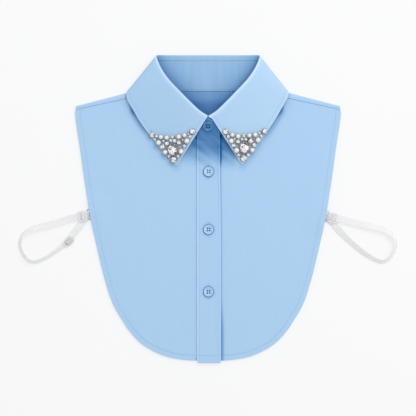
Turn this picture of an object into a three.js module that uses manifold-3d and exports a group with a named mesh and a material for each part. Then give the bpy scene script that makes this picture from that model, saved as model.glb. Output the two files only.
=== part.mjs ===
// A detachable shirt bib with a jewelled collar, buttoned and laid flat with its front up.
// Millimetres. X runs across the bib, Y from the hem to the collar, and Z up from the floor.
// While it is built, Y = 0 is the level of the shoulder tips. The whole group is moved at the end,
// so that the origin lies on the floor under the middle of the part.
import * as THREE from "three";
import { mergeVertices } from "three/addons/utils/BufferGeometryUtils.js";
import Module from "manifold-3d";

const wasm = await Module();
wasm.setup();

// Walls and clearances
const clothWall = 1.2;
const standWall = 1.2;
const leafWall = 1.2;
const gap = 0.35;

// Bib
const halfWidth = 152.7;
const bibLength = 292;
const shoulderRise = 20.6;
const backInset = 6;
const neckHalfWidth = 71.9;
const backNeckRise = 17.4;
const neckDrop = 53.6;
const neckSwell = 1.5;
const neckSwellMargin = 10;
const neckSwellShare = 0.8;
const yokeAtNeck = 5.9;
const yokeAtTip = 2.6;
const yokeUnderReach = 7;
const yokeStart = 0.03;
const backSeamAllowance = 4;

// Placket and buttons
const placketWidth = 27.6;
const placketOffset = 1.2;
const placketOverhang = 2.6;
const hemCornerMargin = 12;
const neckCornerMargin = 1.5;
const panelUnderPlacket = 3;
const buttonRadius = 6.6;
const collarButtonRadius = 5.7;
const buttonThickness = 2.6;
const buttonHoleRadius = 0.75;
const buttonHoleSpacing = 3;

// Collar
const standBackReach = 40.7;
const standFrontReach = 24.4;
const foldInset = 11.3;
const foldHeight = 19.5;
const standOverlap = 13.8;
const standUnderlap = 7.2;
const standEndLow = 0.35;
const standEndHigh = 0.95;
const leafOverhang = 22.6;
const leafTurnRise = 16.3;
const leafBackDrop = 8.3;
const leafEdgeBow = 6.4;
const leafLift = 5.5;
const leafLip = 4.6;
const leafEdgeRun = 8;
const leafEdgeMargin = 1;
const leafTurnMargin = 2;
const tips = { left: { across: 35.9, drop: 67.7 }, right: { across: 38.6, drop: 66.4 } };

// Stones
const mainStoneLength = 13.2;
const mainStoneShare = 0.9;
const clusterWidth = 46;
const clusterFromTip = { out: 2.7, up: 18.4 };

// Side loops and their hardware
const strapWidth = 8.7;
const strapWall = 0.8;
const loopReach = 80.4;
const loopDrop = 54.9;
const strapSlope = THREE.MathUtils.degToRad(12);
const sliderWall = 1.2;
const sliderBar = 1.2;
const sliderBarPitch = 4.05;
const sliderWidth = 12;
const sliderOut = 8.5;
const barClearance = 0.6;
const adjusterPitch = 5.3;
const adjusterWidth = 11;
const ringWire = 1.3;
const ringLength = 9.1;
const ringWidth = 13;
const ringOut = -1.4;
const ringTabLength = 9;

// Levels that follow from the sizes above
const neckFrontY = backNeckRise - neckDrop;
const collarTopY = backNeckRise + standBackReach;
const vPointY = neckFrontY + standFrontReach;
const foldHalfWidth = neckHalfWidth - foldInset;
const leafTurnHalfWidth = neckHalfWidth + leafOverhang;
const lapStep = standWall + gap;
const hookRadius = standWall / 2 + gap + leafWall / 2;
const foldReach = hookRadius + leafWall / 2;
const backLayer = clothWall / 2;
const leafLayer = leafWall + gap;
const ringBase = strapWall + 2 * gap;
const sliderLevel = ringBase + ringWire + gap + strapWall + sliderWall / 2;

// Armhole and hem from the shoulder tip to the middle of the hem, as shares of halfWidth and bibLength
const outlineRows = [
  { across: 0.994, down: 0 },
  { across: 1, down: 0.025 },
  { across: 0.964, down: 0.163 },
  { across: 0.926, down: 0.305 },
  { across: 0.881, down: 0.447 },
  { across: 0.821, down: 0.589 },
  { across: 0.776, down: 0.683 },
  { across: 0.715, down: 0.778 },
  { across: 0.61, down: 0.872 },
  { across: 0.531, down: 0.92 },
  { across: 0.452, down: 0.951 },
  { across: 0.32, down: 0.983 },
  { across: 0.16, down: 0.998 },
  { across: 0, down: 1 },
];
const cornerRow = 8;

// Collar sections from the V point to the side turn. fold: the visible fold line, as shares of
// foldHalfWidth, of the drop from the collar's top to the V point and of foldHeight. seam: the neck
// seam, as shares of neckHalfWidth and neckDrop. along, bow and lift: the leaf's outer edge, as shares
// of the way from the turn to the tip, of leafEdgeBow and of leafLift. fall: how early the leaf falls.
const frontSections = [
  {
    foldAcross: 0.019, foldDown: 1, foldUp: 0.77, seamAcross: 0.144, seamDown: 1,
    along: 1, bow: 0, lift: 0, fall: 1.1, lap: 1, lip: 0.1,
  },
  {
    foldAcross: 0.125, foldDown: 0.905, foldUp: 0.85, seamAcross: 0.32, seamDown: 0.807,
    along: 0.779, bow: 0.46, lift: 0.05, fall: 1.15, lap: 0.8, lip: 0.25,
  },
  {
    foldAcross: 0.323, foldDown: 0.748, foldUp: 0.95, seamAcross: 0.496, seamDown: 0.56,
    along: 0.554, bow: 0.86, lift: 0.3, fall: 1.2, lap: 0.45, lip: 1,
  },
  {
    foldAcross: 0.516, foldDown: 0.579, foldUp: 1, seamAcross: 0.672, seamDown: 0.335,
    along: 0.369, bow: 1, lift: 0.65, fall: 1.2, lap: 0.15, lip: 1,
  },
  {
    foldAcross: 0.725, foldDown: 0.387, foldUp: 0.97, seamAcross: 0.8, seamDown: 0.17,
    along: 0.18, bow: 0.8, lift: 0.9, fall: 1.15, lap: 0, lip: 1,
  },
  {
    foldAcross: 0.873, foldDown: 0.206, foldUp: 0.88, seamAcross: 0.904, seamDown: 0.034,
    along: 0.073, bow: 0.63, lift: 0.85, fall: 1.1, lap: 0, lip: 1,
  },
  {
    foldAcross: 0.968, foldDown: 0.074, foldUp: 0.75, seamAcross: 0.976, seamDown: -0.04,
    along: 0.015, bow: 0.14, lift: 0.55, fall: 1.05, lap: 0, lip: 1,
  },
];

// Collar sections from the side turn to the middle of the back. edgeAcross, edgeDown and edgeUp: the
// leaf's edge under the back panel, as shares of the turn's half width, of leafBackDrop and of foldHeight.
// front: how much of the seam's level comes from the front panel, the rest from the back panel.
const backSections = [
  {
    foldAcross: 1, foldDown: 0.01, foldUp: 0.58, seamAcross: 1, seamDown: -0.054,
    edgeAcross: 1, edgeDown: 0, edgeUp: 0.23, fall: 1.5, front: 0.5,
  },
  {
    foldAcross: 0.968, foldDown: 0, foldUp: 0.46, seamAcross: 0.968, seamDown: -0.024,
    edgeAcross: 0.991, edgeDown: 0.12, edgeUp: 0.031, fall: 3, front: 0,
  },
  {
    foldAcross: 0.759, foldDown: 0, foldUp: 0.44, seamAcross: 0.768, seamDown: -0.004,
    edgeAcross: 0.803, edgeDown: 0.65, edgeUp: 0.031, fall: 4, front: 0,
  },
  {
    foldAcross: 0.436, foldDown: 0, foldUp: 0.44, seamAcross: 0.416, seamDown: 0,
    edgeAcross: 0.414, edgeDown: 0.93, edgeUp: 0.031, fall: 4, front: 0,
  },
  {
    foldAcross: 0, foldDown: 0, foldUp: 0.44, seamAcross: 0, seamDown: 0,
    edgeAcross: 0, edgeDown: 1, edgeUp: 0.031, fall: 4, front: 0,
  },
];

// Buttons down the placket, as shares of bibLength
const placketButtons = [
  { name: "button_upper", down: 0.2565 },
  { name: "button_middle", down: 0.4837 },
  { name: "button_lower", down: 0.7286 },
];
const collarButtonShare = 0.56;

// Stones of each cluster from its oval, as shares of clusterWidth, across counted outwards, and size as
// a share of mainStoneLength. A stone marked beside shares the setting of the stone listed before it.
const stoneRows = {
  left: [
    { kind: "oval", across: 0, up: 0, size: 1 },
    { kind: "crystal", across: -0.02, up: -0.263, size: 0.55 },
    { kind: "crystal", across: 0.102, up: -0.172, size: 0.34, beside: true },
    { kind: "crystal", across: -0.13, up: -0.163, size: 0.34, beside: true },
    { kind: "pearl", across: -0.208, up: -0.045, size: 0.47 },
    { kind: "pearl", across: 0.192, up: -0.067, size: 0.42 },
    { kind: "crystal", across: 0.265, up: 0.065, size: 0.45 },
    { kind: "pearl", across: 0.358, up: 0.173, size: 0.45 },
    { kind: "crystal", across: 0.158, up: 0.148, size: 0.43 },
    { kind: "crystal", across: 0.24, up: 0.215, size: 0.24, beside: true },
    { kind: "crystal", across: 0.058, up: 0.215, size: 0.26, beside: true },
    { kind: "crystal", across: -0.152, up: 0.173, size: 0.43 },
    { kind: "pearl", across: -0.037, up: 0.215, size: 0.33, beside: true },
    { kind: "pearl", across: -0.237, up: 0.23, size: 0.22, beside: true },
    { kind: "crystal", across: -0.277, up: 0.093, size: 0.38 },
    { kind: "pearl", across: -0.35, up: 0.215, size: 0.47 },
    { kind: "crystal", across: -0.48, up: 0.44, size: 0.49 },
    { kind: "crystal", across: -0.422, up: 0.32, size: 0.29, beside: true },
    { kind: "crystal", across: -0.378, up: 0.384, size: 0.23, beside: true },
    { kind: "pearl", across: -0.29, up: 0.355, size: 0.38 },
    { kind: "pearl", across: -0.148, up: 0.32, size: 0.42 },
    { kind: "crystal", across: 0.01, up: 0.308, size: 0.32 },
    { kind: "pearl", across: 0.155, up: 0.298, size: 0.4 },
    { kind: "pearl", across: 0.298, up: 0.315, size: 0.4 },
    { kind: "crystal", across: 0.525, up: 0.365, size: 0.45 },
    { kind: "crystal", across: 0.412, up: 0.325, size: 0.26, beside: true },
    { kind: "crystal", across: 0.448, up: 0.25, size: 0.24, beside: true },
  ],
  right: [
    { kind: "oval", across: 0, up: 0, size: 1 },
    { kind: "crystal", across: -0.015, up: -0.273, size: 0.55 },
    { kind: "crystal", across: -0.135, up: -0.185, size: 0.34, beside: true },
    { kind: "crystal", across: 0.095, up: -0.18, size: 0.33, beside: true },
    { kind: "pearl", across: -0.2, up: -0.07, size: 0.47 },
    { kind: "pearl", across: 0.198, up: -0.06, size: 0.43 },
    { kind: "crystal", across: -0.265, up: 0.055, size: 0.39 },
    { kind: "pearl", across: -0.33, up: 0.168, size: 0.45 },
    { kind: "crystal", across: -0.155, up: 0.15, size: 0.43 },
    { kind: "crystal", across: -0.235, up: 0.215, size: 0.22, beside: true },
    { kind: "crystal", across: -0.052, up: 0.198, size: 0.23, beside: true },
    { kind: "crystal", across: 0.155, up: 0.168, size: 0.48 },
    { kind: "pearl", across: 0.035, up: 0.202, size: 0.28, beside: true },
    { kind: "crystal", across: 0.253, up: 0.06, size: 0.4 },
    { kind: "pearl", across: 0.34, up: 0.19, size: 0.46 },
    { kind: "crystal", across: -0.465, up: 0.385, size: 0.48 },
    { kind: "crystal", across: -0.4, up: 0.27, size: 0.34 },
    { kind: "pearl", across: -0.302, up: 0.318, size: 0.39 },
    { kind: "pearl", across: -0.16, up: 0.283, size: 0.42 },
    { kind: "crystal", across: -0.015, up: 0.298, size: 0.32 },
    { kind: "pearl", across: 0.123, up: 0.305, size: 0.4 },
    { kind: "pearl", across: 0.268, up: 0.325, size: 0.42 },
    { kind: "crystal", across: 0.505, up: 0.402, size: 0.49 },
    { kind: "crystal", across: 0.383, up: 0.362, size: 0.25, beside: true },
    { kind: "crystal", across: 0.425, up: 0.285, size: 0.29, beside: true },
  ],
};

// Centre lines of the side loops after the slider, as shares of loopReach and loopDrop from the place
// where the strap meets the panel. tilt: how far the tape is turned up on its outer edge, in degrees.
const loopRows = {
  left: [
    { out: 0.286, down: 0.099, tilt: 16 },
    { out: 0.491, down: 0.18, tilt: 32 },
    { out: 0.71, down: 0.262, tilt: 46 },
    { out: 0.841, down: 0.317, tilt: 58 },
    { out: 0.928, down: 0.39, tilt: 67 },
    { out: 0.983, down: 0.501, tilt: 73 },
    { out: 1, down: 0.614, tilt: 75 },
    { out: 0.983, down: 0.742, tilt: 75 },
    { out: 0.944, down: 0.855, tilt: 74 },
    { out: 0.884, down: 0.96, tilt: 72 },
    { out: 0.808, down: 1, tilt: 70 },
    { out: 0.71, down: 0.966, tilt: 66 },
    { out: 0.599, down: 0.887, tilt: 61 },
    { out: 0.491, down: 0.782, tilt: 56 },
    { out: 0.381, down: 0.662, tilt: 51 },
    { out: 0.305, down: 0.566, tilt: 46 },
    { out: 0.239, down: 0.421, tilt: 36 },
    { out: 0.162, down: 0.277, tilt: 20 },
  ],
  right: [
    { out: 0.361, down: 0.12, tilt: 24 },
    { out: 0.525, down: 0.176, tilt: 36 },
    { out: 0.69, down: 0.231, tilt: 47 },
    { out: 0.798, down: 0.273, tilt: 56 },
    { out: 0.886, down: 0.327, tilt: 64 },
    { out: 0.963, down: 0.432, tilt: 71 },
    { out: 0.996, down: 0.528, tilt: 74 },
    { out: 0.99, down: 0.656, tilt: 75 },
    { out: 0.951, down: 0.786, tilt: 74 },
    { out: 0.897, down: 0.897, tilt: 72 },
    { out: 0.81, down: 0.954, tilt: 70 },
    { out: 0.722, down: 0.922, tilt: 67 },
    { out: 0.579, down: 0.809, tilt: 60 },
    { out: 0.471, down: 0.69, tilt: 55 },
    { out: 0.361, down: 0.553, tilt: 50 },
    { out: 0.252, down: 0.4, tilt: 40 },
    { out: 0.163, down: 0.256, tilt: 22 },
  ],
};
const strapAnchors = { left: 0.424, right: 0.431 };
const adjusterAt = 0.786;

// Finishes
const cloth = { color: 0xaccff0, roughness: 0.85 };
const white = { color: 0xf2f2f2, roughness: 0.5 };
const elastic = { color: 0xe9e9eb, roughness: 0.9 };
const steel = { color: 0x8d8f94, roughness: 0.35, metalness: 1 };
const crystal = { color: 0xe6e0d6, roughness: 0.08, metalness: 0.2 };
const pearl = { color: 0xf0ece4, roughness: 0.25 };

const group = new THREE.Group();

function addPiece(name, geometry, finish) {
  const mesh = new THREE.Mesh(geometry, new THREE.MeshStandardMaterial(finish));
  mesh.name = name;
  group.add(mesh);
  return mesh;
}

// Shared vertices only, and no triangle that has collapsed to a line
function cleaned(geometry) {
  const bare = new THREE.BufferGeometry();
  bare.setAttribute("position", geometry.getAttribute("position"));
  if (geometry.index) {
    bare.setIndex(geometry.index);
  }
  const merged = mergeVertices(bare, 1e-4);
  const kept = [];
  const corners = merged.index.array;
  for (let i = 0; i < corners.length; i += 3) {
    const [a, b, c] = corners.slice(i, i + 3);
    if (a !== b && b !== c && c !== a) {
      kept.push(a, b, c);
    }
  }
  merged.setIndex(kept);
  return merged;
}

function toSolid(geometry) {
  const bare = cleaned(geometry);
  return new wasm.Manifold(
    new wasm.Mesh({
      numProp: 3,
      vertProperties: new Float32Array(bare.getAttribute("position").array),
      triVerts: new Uint32Array(bare.index.array),
    }),
  );
}

function fromSolid(solid) {
  const mesh = solid.getMesh();
  const geometry = new THREE.BufferGeometry();
  const positions = new Float32Array(mesh.vertProperties);
  geometry.setAttribute("position", new THREE.BufferAttribute(positions, 3));
  geometry.setIndex(Array.from(mesh.triVerts));
  return geometry;
}

function joined(geometries) {
  return fromSolid(geometries.map(toSolid).reduce((sum, next) => sum.add(next)));
}

// The triangles turned so that they face outwards
function facingOut(vertices, corners) {
  let volume = 0;
  for (let i = 0; i < corners.length; i += 3) {
    const [a, b, c] = corners.slice(i, i + 3).map((k) => vertices[k]);
    volume += a.dot(b.clone().cross(c));
  }
  const turned = [];
  for (let i = 0; i < corners.length; i += 3) {
    const [a, b, c] = corners.slice(i, i + 3);
    turned.push(a, volume > 0 ? b : c, volume > 0 ? c : b);
  }
  const geometry = new THREE.BufferGeometry().setFromPoints(vertices);
  geometry.setIndex(turned);
  return geometry;
}

// A closed wall round a grid of points, half of it to each side. With up it is measured straight up.
function wallAround(grid, wall, up) {
  const rows = grid.length;
  const cols = grid[0].length;
  const normalAt = (i, j) => {
    if (up) {
      return new THREE.Vector3(0, 0, 1);
    }
    const last = grid[Math.max(i - 1, 0)][j];
    const next = grid[Math.min(i + 1, rows - 1)][j];
    const before = grid[i][Math.max(j - 1, 0)];
    const after = grid[i][Math.min(j + 1, cols - 1)];
    return next.clone().sub(last).cross(after.clone().sub(before)).normalize();
  };
  const vertices = [];
  for (const side of [0.5, -0.5]) {
    for (let i = 0; i < rows; i++) {
      for (let j = 0; j < cols; j++) {
        vertices.push(grid[i][j].clone().addScaledVector(normalAt(i, j), side * wall));
      }
    }
  }
  const corners = [];
  const quad = (a, b, c, d) => corners.push(a, b, c, a, c, d);
  const at = (face, i, j) => face * rows * cols + i * cols + j;
  for (let i = 0; i + 1 < rows; i++) {
    for (let j = 0; j + 1 < cols; j++) {
      quad(at(0, i, j), at(0, i + 1, j), at(0, i + 1, j + 1), at(0, i, j + 1));
      quad(at(1, i, j), at(1, i, j + 1), at(1, i + 1, j + 1), at(1, i + 1, j));
    }
    quad(at(0, i, 0), at(1, i, 0), at(1, i + 1, 0), at(0, i + 1, 0));
    quad(at(0, i, cols - 1), at(0, i + 1, cols - 1), at(1, i + 1, cols - 1), at(1, i, cols - 1));
  }
  for (let j = 0; j + 1 < cols; j++) {
    quad(at(0, 0, j), at(0, 0, j + 1), at(1, 0, j + 1), at(1, 0, j));
    quad(at(0, rows - 1, j), at(1, rows - 1, j), at(1, rows - 1, j + 1), at(0, rows - 1, j + 1));
  }
  return facingOut(vertices, corners);
}

// A solid through rings that hold the same number of points, with flat ends
function throughRings(rings) {
  const sides = rings[0].length;
  const vertices = rings.flat();
  const corners = [];
  for (let i = 0; i + 1 < rings.length; i++) {
    for (let j = 0; j < sides; j++) {
      const k = (j + 1) % sides;
      const a = i * sides;
      const b = a + sides;
      corners.push(a + j, a + k, b + k, a + j, b + k, b + j);
    }
  }
  const last = (rings.length - 1) * sides;
  for (let j = 1; j + 1 < sides; j++) {
    corners.push(0, j + 1, j, last, last + j, last + j + 1);
  }
  return facingOut(vertices, corners);
}

function mix(a, b, share) {
  return a + (b - a) * share;
}

// A smooth curve through the points, read by a share of its whole run of points
function curveThrough(points) {
  const curve = new THREE.CatmullRomCurve3(points);
  return (share) => curve.getPoint(share);
}

// A grid that fills four curves that meet at their corners. across and down run from 0 to 1.
function filledGrid(top, bottom, start, end, acrossSteps, downSteps) {
  const corner = [top(0), top(1), bottom(0), bottom(1)];
  const grid = [];
  for (let i = 0; i <= downSteps; i++) {
    const v = i / downSteps;
    const row = [];
    for (let j = 0; j <= acrossSteps; j++) {
      const u = j / acrossSteps;
      const point = top(u).multiplyScalar(1 - v).addScaledVector(bottom(u), v);
      point.addScaledVector(start(v), 1 - u).addScaledVector(end(v), u);
      point.addScaledVector(corner[0], -(1 - u) * (1 - v)).addScaledVector(corner[1], -u * (1 - v));
      point.addScaledVector(corner[2], -(1 - u) * v).addScaledVector(corner[3], -u * v);
      row.push(point);
    }
    grid.push(row);
  }
  return grid;
}

// Heights of the middle of the cloth

function backHeight(x, y) {
  const edgeY = leafTurnRise - leafBackDrop - leafEdgeMargin;
  const turnX = leafTurnHalfWidth + leafTurnMargin;
  const overEdge = THREE.MathUtils.smoothstep(y, edgeY - leafEdgeRun, edgeY);
  const overTurn = 1 - THREE.MathUtils.smoothstep(Math.abs(x), turnX, turnX + leafEdgeRun);
  return backLayer + leafLayer * overEdge * overTurn;
}

function strapAnchor(side) {
  const down = strapAnchors[side];
  const at = outlineRows.findIndex((row) => row.down > down);
  const [before, after] = [outlineRows[at - 1], outlineRows[at]];
  const share = (down - before.down) / (after.down - before.down);
  const sign = side === "left" ? -1 : 1;
  const across = mix(before.across, after.across, share);
  return new THREE.Vector3(sign * halfWidth * across, -bibLength * down, 0);
}

const anchors = { left: strapAnchor("left"), right: strapAnchor("right") };
const strapSwell = ringBase + ringWire - clothWall;
const strapSwellRadius = ringTabLength + ringWidth + gap;

function frontHeight(x, y) {
  const acrossNeck = x / (neckHalfWidth + neckSwellMargin);
  const downNeck = (y - (backNeckRise + neckFrontY) / 2) / (neckSwellShare * neckDrop);
  const fromNeck = acrossNeck ** 2 + downNeck ** 2;
  let height = backHeight(x, y) + clothWall + 2 * gap + neckSwell * Math.exp(-(fromNeck ** 2));
  for (const anchor of Object.values(anchors)) {
    const away = Math.hypot(x - anchor.x, y - anchor.y) / strapSwellRadius;
    height += strapSwell * Math.exp(-(away ** 4));
  }
  return height;
}

function placketHeight(x, y) {
  return frontHeight(x, y) + clothWall + gap;
}

// Outlines

function shoulderPoint(share, inset) {
  const tip = outlineRows[0].across * halfWidth;
  return new THREE.Vector3(mix(neckHalfWidth, tip, share), shoulderRise * (1 - share) - inset, 0);
}

function seamPoint(section) {
  const y = backNeckRise - section.seamDown * neckDrop;
  return new THREE.Vector3(section.seamAcross * neckHalfWidth, y, 0);
}

// The armhole, from the shoulder to the corner of the hem, and the hem, from the middle to that corner
function outlineCurves(inset, topPoint) {
  const width = halfWidth - inset;
  const length = bibLength - inset;
  const point = (row) => new THREE.Vector3(row.across * width, -row.down * length, 0);
  const armhole = [topPoint, ...outlineRows.slice(1, cornerRow + 1).map(point)];
  const hem = outlineRows.slice(cornerRow).reverse().map(point);
  return { armhole, hem };
}

function liftedGrid(grid, height) {
  return grid.map((row) => row.map((p) => new THREE.Vector3(p.x, p.y, height(p.x, p.y))));
}

// Cloth panels

function frontPanel(side) {
  const sign = side === "left" ? -1 : 1;
  const placketLeft = placketOffset - placketWidth / 2;
  const underPlacket = placketLeft + panelUnderPlacket;
  const innerAcross = side === "left" ? -underPlacket : underPlacket + 2 * gap;
  const neckGap = standWall + gap;
  const seamBelow = (section) => seamPoint(section).add(new THREE.Vector3(0, -neckGap, 0));
  const neckLine = [new THREE.Vector3(innerAcross, neckFrontY - neckGap, 0)];
  for (const section of frontSections.slice(0, -1)) {
    const p = seamBelow(section);
    if (p.x > innerAcross + clothWall) {
      neckLine.push(p);
    }
  }
  const shoulderIn = shoulderPoint(0, yokeAtNeck + gap);
  neckLine.push(new THREE.Vector3(shoulderIn.x - neckCornerMargin, shoulderIn.y - neckGap, 0));
  const tip = shoulderPoint(1, yokeAtTip + gap);
  const neckCurve = curveThrough(neckLine);
  const corner = neckLine[neckLine.length - 1];
  const top = (u) => (u < 0.5 ? neckCurve(2 * u) : corner.clone().lerp(tip, 2 * u - 1));
  const { armhole, hem } = outlineCurves(0, tip);
  hem[0].x = innerAcross;
  const flatHem = hem.filter((p, i) => i === 0 || p.x > innerAcross + hemCornerMargin);
  const inner = (v) => new THREE.Vector3(innerAcross, mix(neckLine[0].y, hem[0].y, v), 0);
  const flat = filledGrid(top, curveThrough(flatHem), inner, curveThrough(armhole), 12, 10);
  const turned = flat.map((row) => row.map((p) => new THREE.Vector3(sign * p.x, p.y, 0)));
  return wallAround(liftedGrid(turned, frontHeight), clothWall, true);
}

// The strip of the back panel that comes over the shoulder, from its edge on the front to under it
function yokeStrip(sign) {
  const steps = 5;
  const grid = [];
  for (let i = 0; i <= steps; i++) {
    const share = mix(yokeStart, 1, i / steps);
    const width = mix(yokeAtNeck, yokeAtTip, share);
    const edge = shoulderPoint(share, width);
    const line = shoulderPoint(share, 0);
    const high = frontHeight(sign * line.x, line.y);
    const low = backHeight(sign * line.x, line.y);
    const radius = (high - low) / 2;
    const row = [new THREE.Vector3(sign * edge.x, edge.y, frontHeight(sign * edge.x, edge.y))];
    for (const angle of [80, 0, -80]) {
      const turn = THREE.MathUtils.degToRad(angle);
      const back = radius * (1 - Math.cos(turn));
      row.push(new THREE.Vector3(sign * line.x, line.y - back, low + radius * (1 + Math.sin(turn))));
    }
    const underY = line.y - yokeUnderReach;
    row.push(new THREE.Vector3(sign * line.x, underY, backHeight(sign * line.x, underY)));
    grid.push(row);
  }
  return wallAround(grid, clothWall, false);
}

function backPanel() {
  const neckGap = standWall / 2 + gap;
  const left = (p) => new THREE.Vector3(-p.x, p.y, p.z);
  const tip = shoulderPoint(1, backSeamAllowance);
  tip.x -= backInset;
  const neckCorner = shoulderPoint(yokeStart, backSeamAllowance);
  const seam = new THREE.Vector3(0.9 * neckHalfWidth, backNeckRise - neckGap, 0);
  const half = [tip, tip.clone().lerp(neckCorner, 0.5), neckCorner, seam];
  const topLine = [...half.map(left), new THREE.Vector3(0, seam.y, 0), ...half.slice().reverse()];
  const { armhole, hem } = outlineCurves(backInset, tip);
  const hemLine = [...hem.slice(1).reverse().map(left), ...hem];
  const top = (u) => {
    const place = u * (topLine.length - 1);
    const i = Math.min(Math.floor(place), topLine.length - 2);
    return topLine[i].clone().lerp(topLine[i + 1], place - i);
  };
  const side = curveThrough(armhole);
  const grid = filledGrid(top, curveThrough(hemLine), (v) => left(side(v)), side, 14, 10);
  const sheet = wallAround(liftedGrid(grid, backHeight), clothWall, true);
  return joined([sheet, yokeStrip(-1), yokeStrip(1)]);
}

function placket() {
  const left = placketOffset - placketWidth / 2;
  const top = neckFrontY - standWall / 2 - gap;
  const bottom = -bibLength - placketOverhang;
  const grid = [];
  const steps = 12;
  for (let i = 0; i <= steps; i++) {
    const y = mix(top, bottom, i / steps);
    grid.push([0, 0.5, 1].map((share) => new THREE.Vector3(left + placketWidth * share, y, 0)));
  }
  return wallAround(liftedGrid(grid, placketHeight), clothWall, true);
}

// Collar

// The fold, the seam and the leaf's edge of one section, with what else its row holds
function frontSection(row, side) {
  const sign = side === "left" ? -1 : 1;
  const lap = side === "left" ? lapStep * row.lap : 0;
  const seam = seamPoint(row);
  seam.x *= sign;
  seam.z = frontHeight(seam.x, seam.y) + lap;
  const fold = new THREE.Vector3(
    sign * row.foldAcross * foldHalfWidth,
    collarTopY - row.foldDown * (collarTopY - vPointY),
    row.foldUp * foldHeight + lap,
  );
  const tip = new THREE.Vector2(tips[side].across, -tips[side].drop);
  const turn = new THREE.Vector2(leafTurnHalfWidth, leafTurnRise);
  const way = tip.clone().sub(turn);
  const out = new THREE.Vector2(-way.y, way.x).normalize();
  const edge = turn.addScaledVector(way, row.along).addScaledVector(out, row.bow * leafEdgeBow);
  const panelTop = frontHeight(sign * edge.x, edge.y) + clothWall / 2;
  const edgeHeight = panelTop + gap + leafWall / 2 + row.lift * leafLift;
  return {
    fold,
    seam,
    edge: new THREE.Vector3(sign * edge.x, edge.y, edgeHeight),
    fall: row.fall,
    lip: row.lip * leafLip,
    over: side === "right" ? lapStep * row.lap : 0,
  };
}

function backSection(row, side) {
  const sign = side === "left" ? -1 : 1;
  const seam = seamPoint(row);
  seam.x *= sign;
  seam.z = mix(backHeight(seam.x, seam.y), frontHeight(seam.x, seam.y), row.front);
  const fold = new THREE.Vector3(
    sign * row.foldAcross * foldHalfWidth,
    collarTopY - row.foldDown * (collarTopY - vPointY),
    row.foldUp * foldHeight,
  );
  const edge = new THREE.Vector3(
    sign * row.edgeAcross * leafTurnHalfWidth,
    leafTurnRise - row.edgeDown * leafBackDrop,
    row.edgeUp * foldHeight,
  );
  return { fold, seam, edge, fall: row.fall, lip: leafLip, over: 0 };
}

// All sections from the left point round the back to the right point, with extra ones between them
function collarSections(perRow) {
  const left = [
    ...frontSections.map((row) => frontSection(row, "left")),
    ...backSections.map((row) => backSection(row, "left")),
  ];
  const right = [
    ...backSections.slice(0, -1).reverse().map((row) => backSection(row, "right")),
    ...frontSections.slice().reverse().map((row) => frontSection(row, "right")),
  ];
  const rows = [...left, ...right];
  const curves = {};
  for (const key of ["fold", "seam", "edge"]) {
    curves[key] = curveThrough(rows.map((row) => row[key]));
  }
  const sections = [];
  const count = (rows.length - 1) * perRow;
  for (let i = 0; i <= count; i++) {
    const place = i / perRow;
    const before = rows[Math.floor(place)];
    const after = rows[Math.ceil(place)];
    const section = {};
    for (const key of ["fold", "seam", "edge"]) {
      section[key] = curves[key](i / count);
    }
    section.edge.z = Math.max(section.edge.z, leafWall / 2);
    for (const key of ["fall", "lip", "over"]) {
      section[key] = mix(before[key], after[key], place - Math.floor(place));
    }
    sections.push(section);
  }
  return sections.map((section, i) => {
    const next = sections[Math.min(i + 1, sections.length - 1)].fold;
    const last = sections[Math.max(i - 1, 0)].fold;
    const down = section.seam.clone().sub(section.fold).normalize();
    const outward = next.clone().sub(last).cross(down).normalize();
    const top = section.fold.clone().addScaledVector(down, foldReach);
    return { ...section, down, outward, top };
  });
}

const sections = collarSections(2);

function standRow(seam, top) {
  return [0, 0.5, 1].map((share) => seam.clone().lerp(top, share));
}

// The end of the stand past the V point, with its upper corner rounded
function standEnd(section, endX) {
  const rows = [];
  for (const share of [1, 0.9, 0.7, 0.4]) {
    const height = mix(standEndLow, standEndHigh, Math.sqrt(1 - share * share));
    const seam = section.seam.clone();
    seam.x = mix(seam.x, endX, share);
    const top = section.top.clone();
    top.x = mix(top.x, endX, share);
    top.y = mix(seam.y, section.top.y, height);
    top.z = mix(seam.z, section.top.z, height);
    rows.push(standRow(seam, top));
  }
  return rows;
}

function collarStand() {
  const overEnd = standEnd(sections[0], standOverlap);
  const underEnd = standEnd(sections[sections.length - 1], -standUnderlap).reverse();
  const rows = sections.map((section) => standRow(section.seam, section.top));
  return wallAround([...overEnd, ...rows, ...underEnd], standWall, false);
}

// The leaf hooks over the top edge of the stand and falls to its outer edge
function leafRow(section) {
  const { top, down, outward, edge, fall, lip, over } = section;
  const place = (along, off) => top.clone().addScaledVector(down, along).addScaledVector(outward, off);
  const row = [place(lip, -hookRadius), place(0, -hookRadius)];
  const middle = over / 2;
  for (const angle of [-50, 0, 50]) {
    const turn = THREE.MathUtils.degToRad(angle);
    row.push(place(-hookRadius * Math.cos(turn), middle + (hookRadius + middle) * Math.sin(turn)));
  }
  const start = place(0, hookRadius + over);
  row.push(start);
  for (const share of [0.14, 0.36, 0.68, 1]) {
    const point = start.clone().lerp(edge, share);
    point.z = mix(edge.z, start.z, (1 - share) ** fall);
    row.push(point);
  }
  return row;
}

function collarLeaf() {
  return wallAround(sections.map(leafRow), leafWall, false);
}

// What lies on a sheet

const downRay = new THREE.Vector3(0, 0, -1);

// Where a thing set down at x, y rests on a mesh, turned as the surface is
function seatOn(mesh, x, y) {
  mesh.updateMatrixWorld();
  const wellAbove = foldHeight + bibLength;
  const ray = new THREE.Raycaster(new THREE.Vector3(x, y, wellAbove), downRay);
  const hit = ray.intersectObject(mesh)[0];
  if (!hit) {
    throw new Error("nothing lies under " + x.toFixed(1) + ", " + y.toFixed(1) + " on " + mesh.name);
  }
  const normal = hit.face.normal.clone();
  if (normal.z < 0) {
    normal.negate();
  }
  const turn = new THREE.Quaternion().setFromUnitVectors(new THREE.Vector3(0, 0, 1), normal);
  const place = hit.point.clone().addScaledVector(normal, gap);
  return new THREE.Matrix4().compose(place, turn, new THREE.Vector3(1, 1, 1));
}

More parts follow.
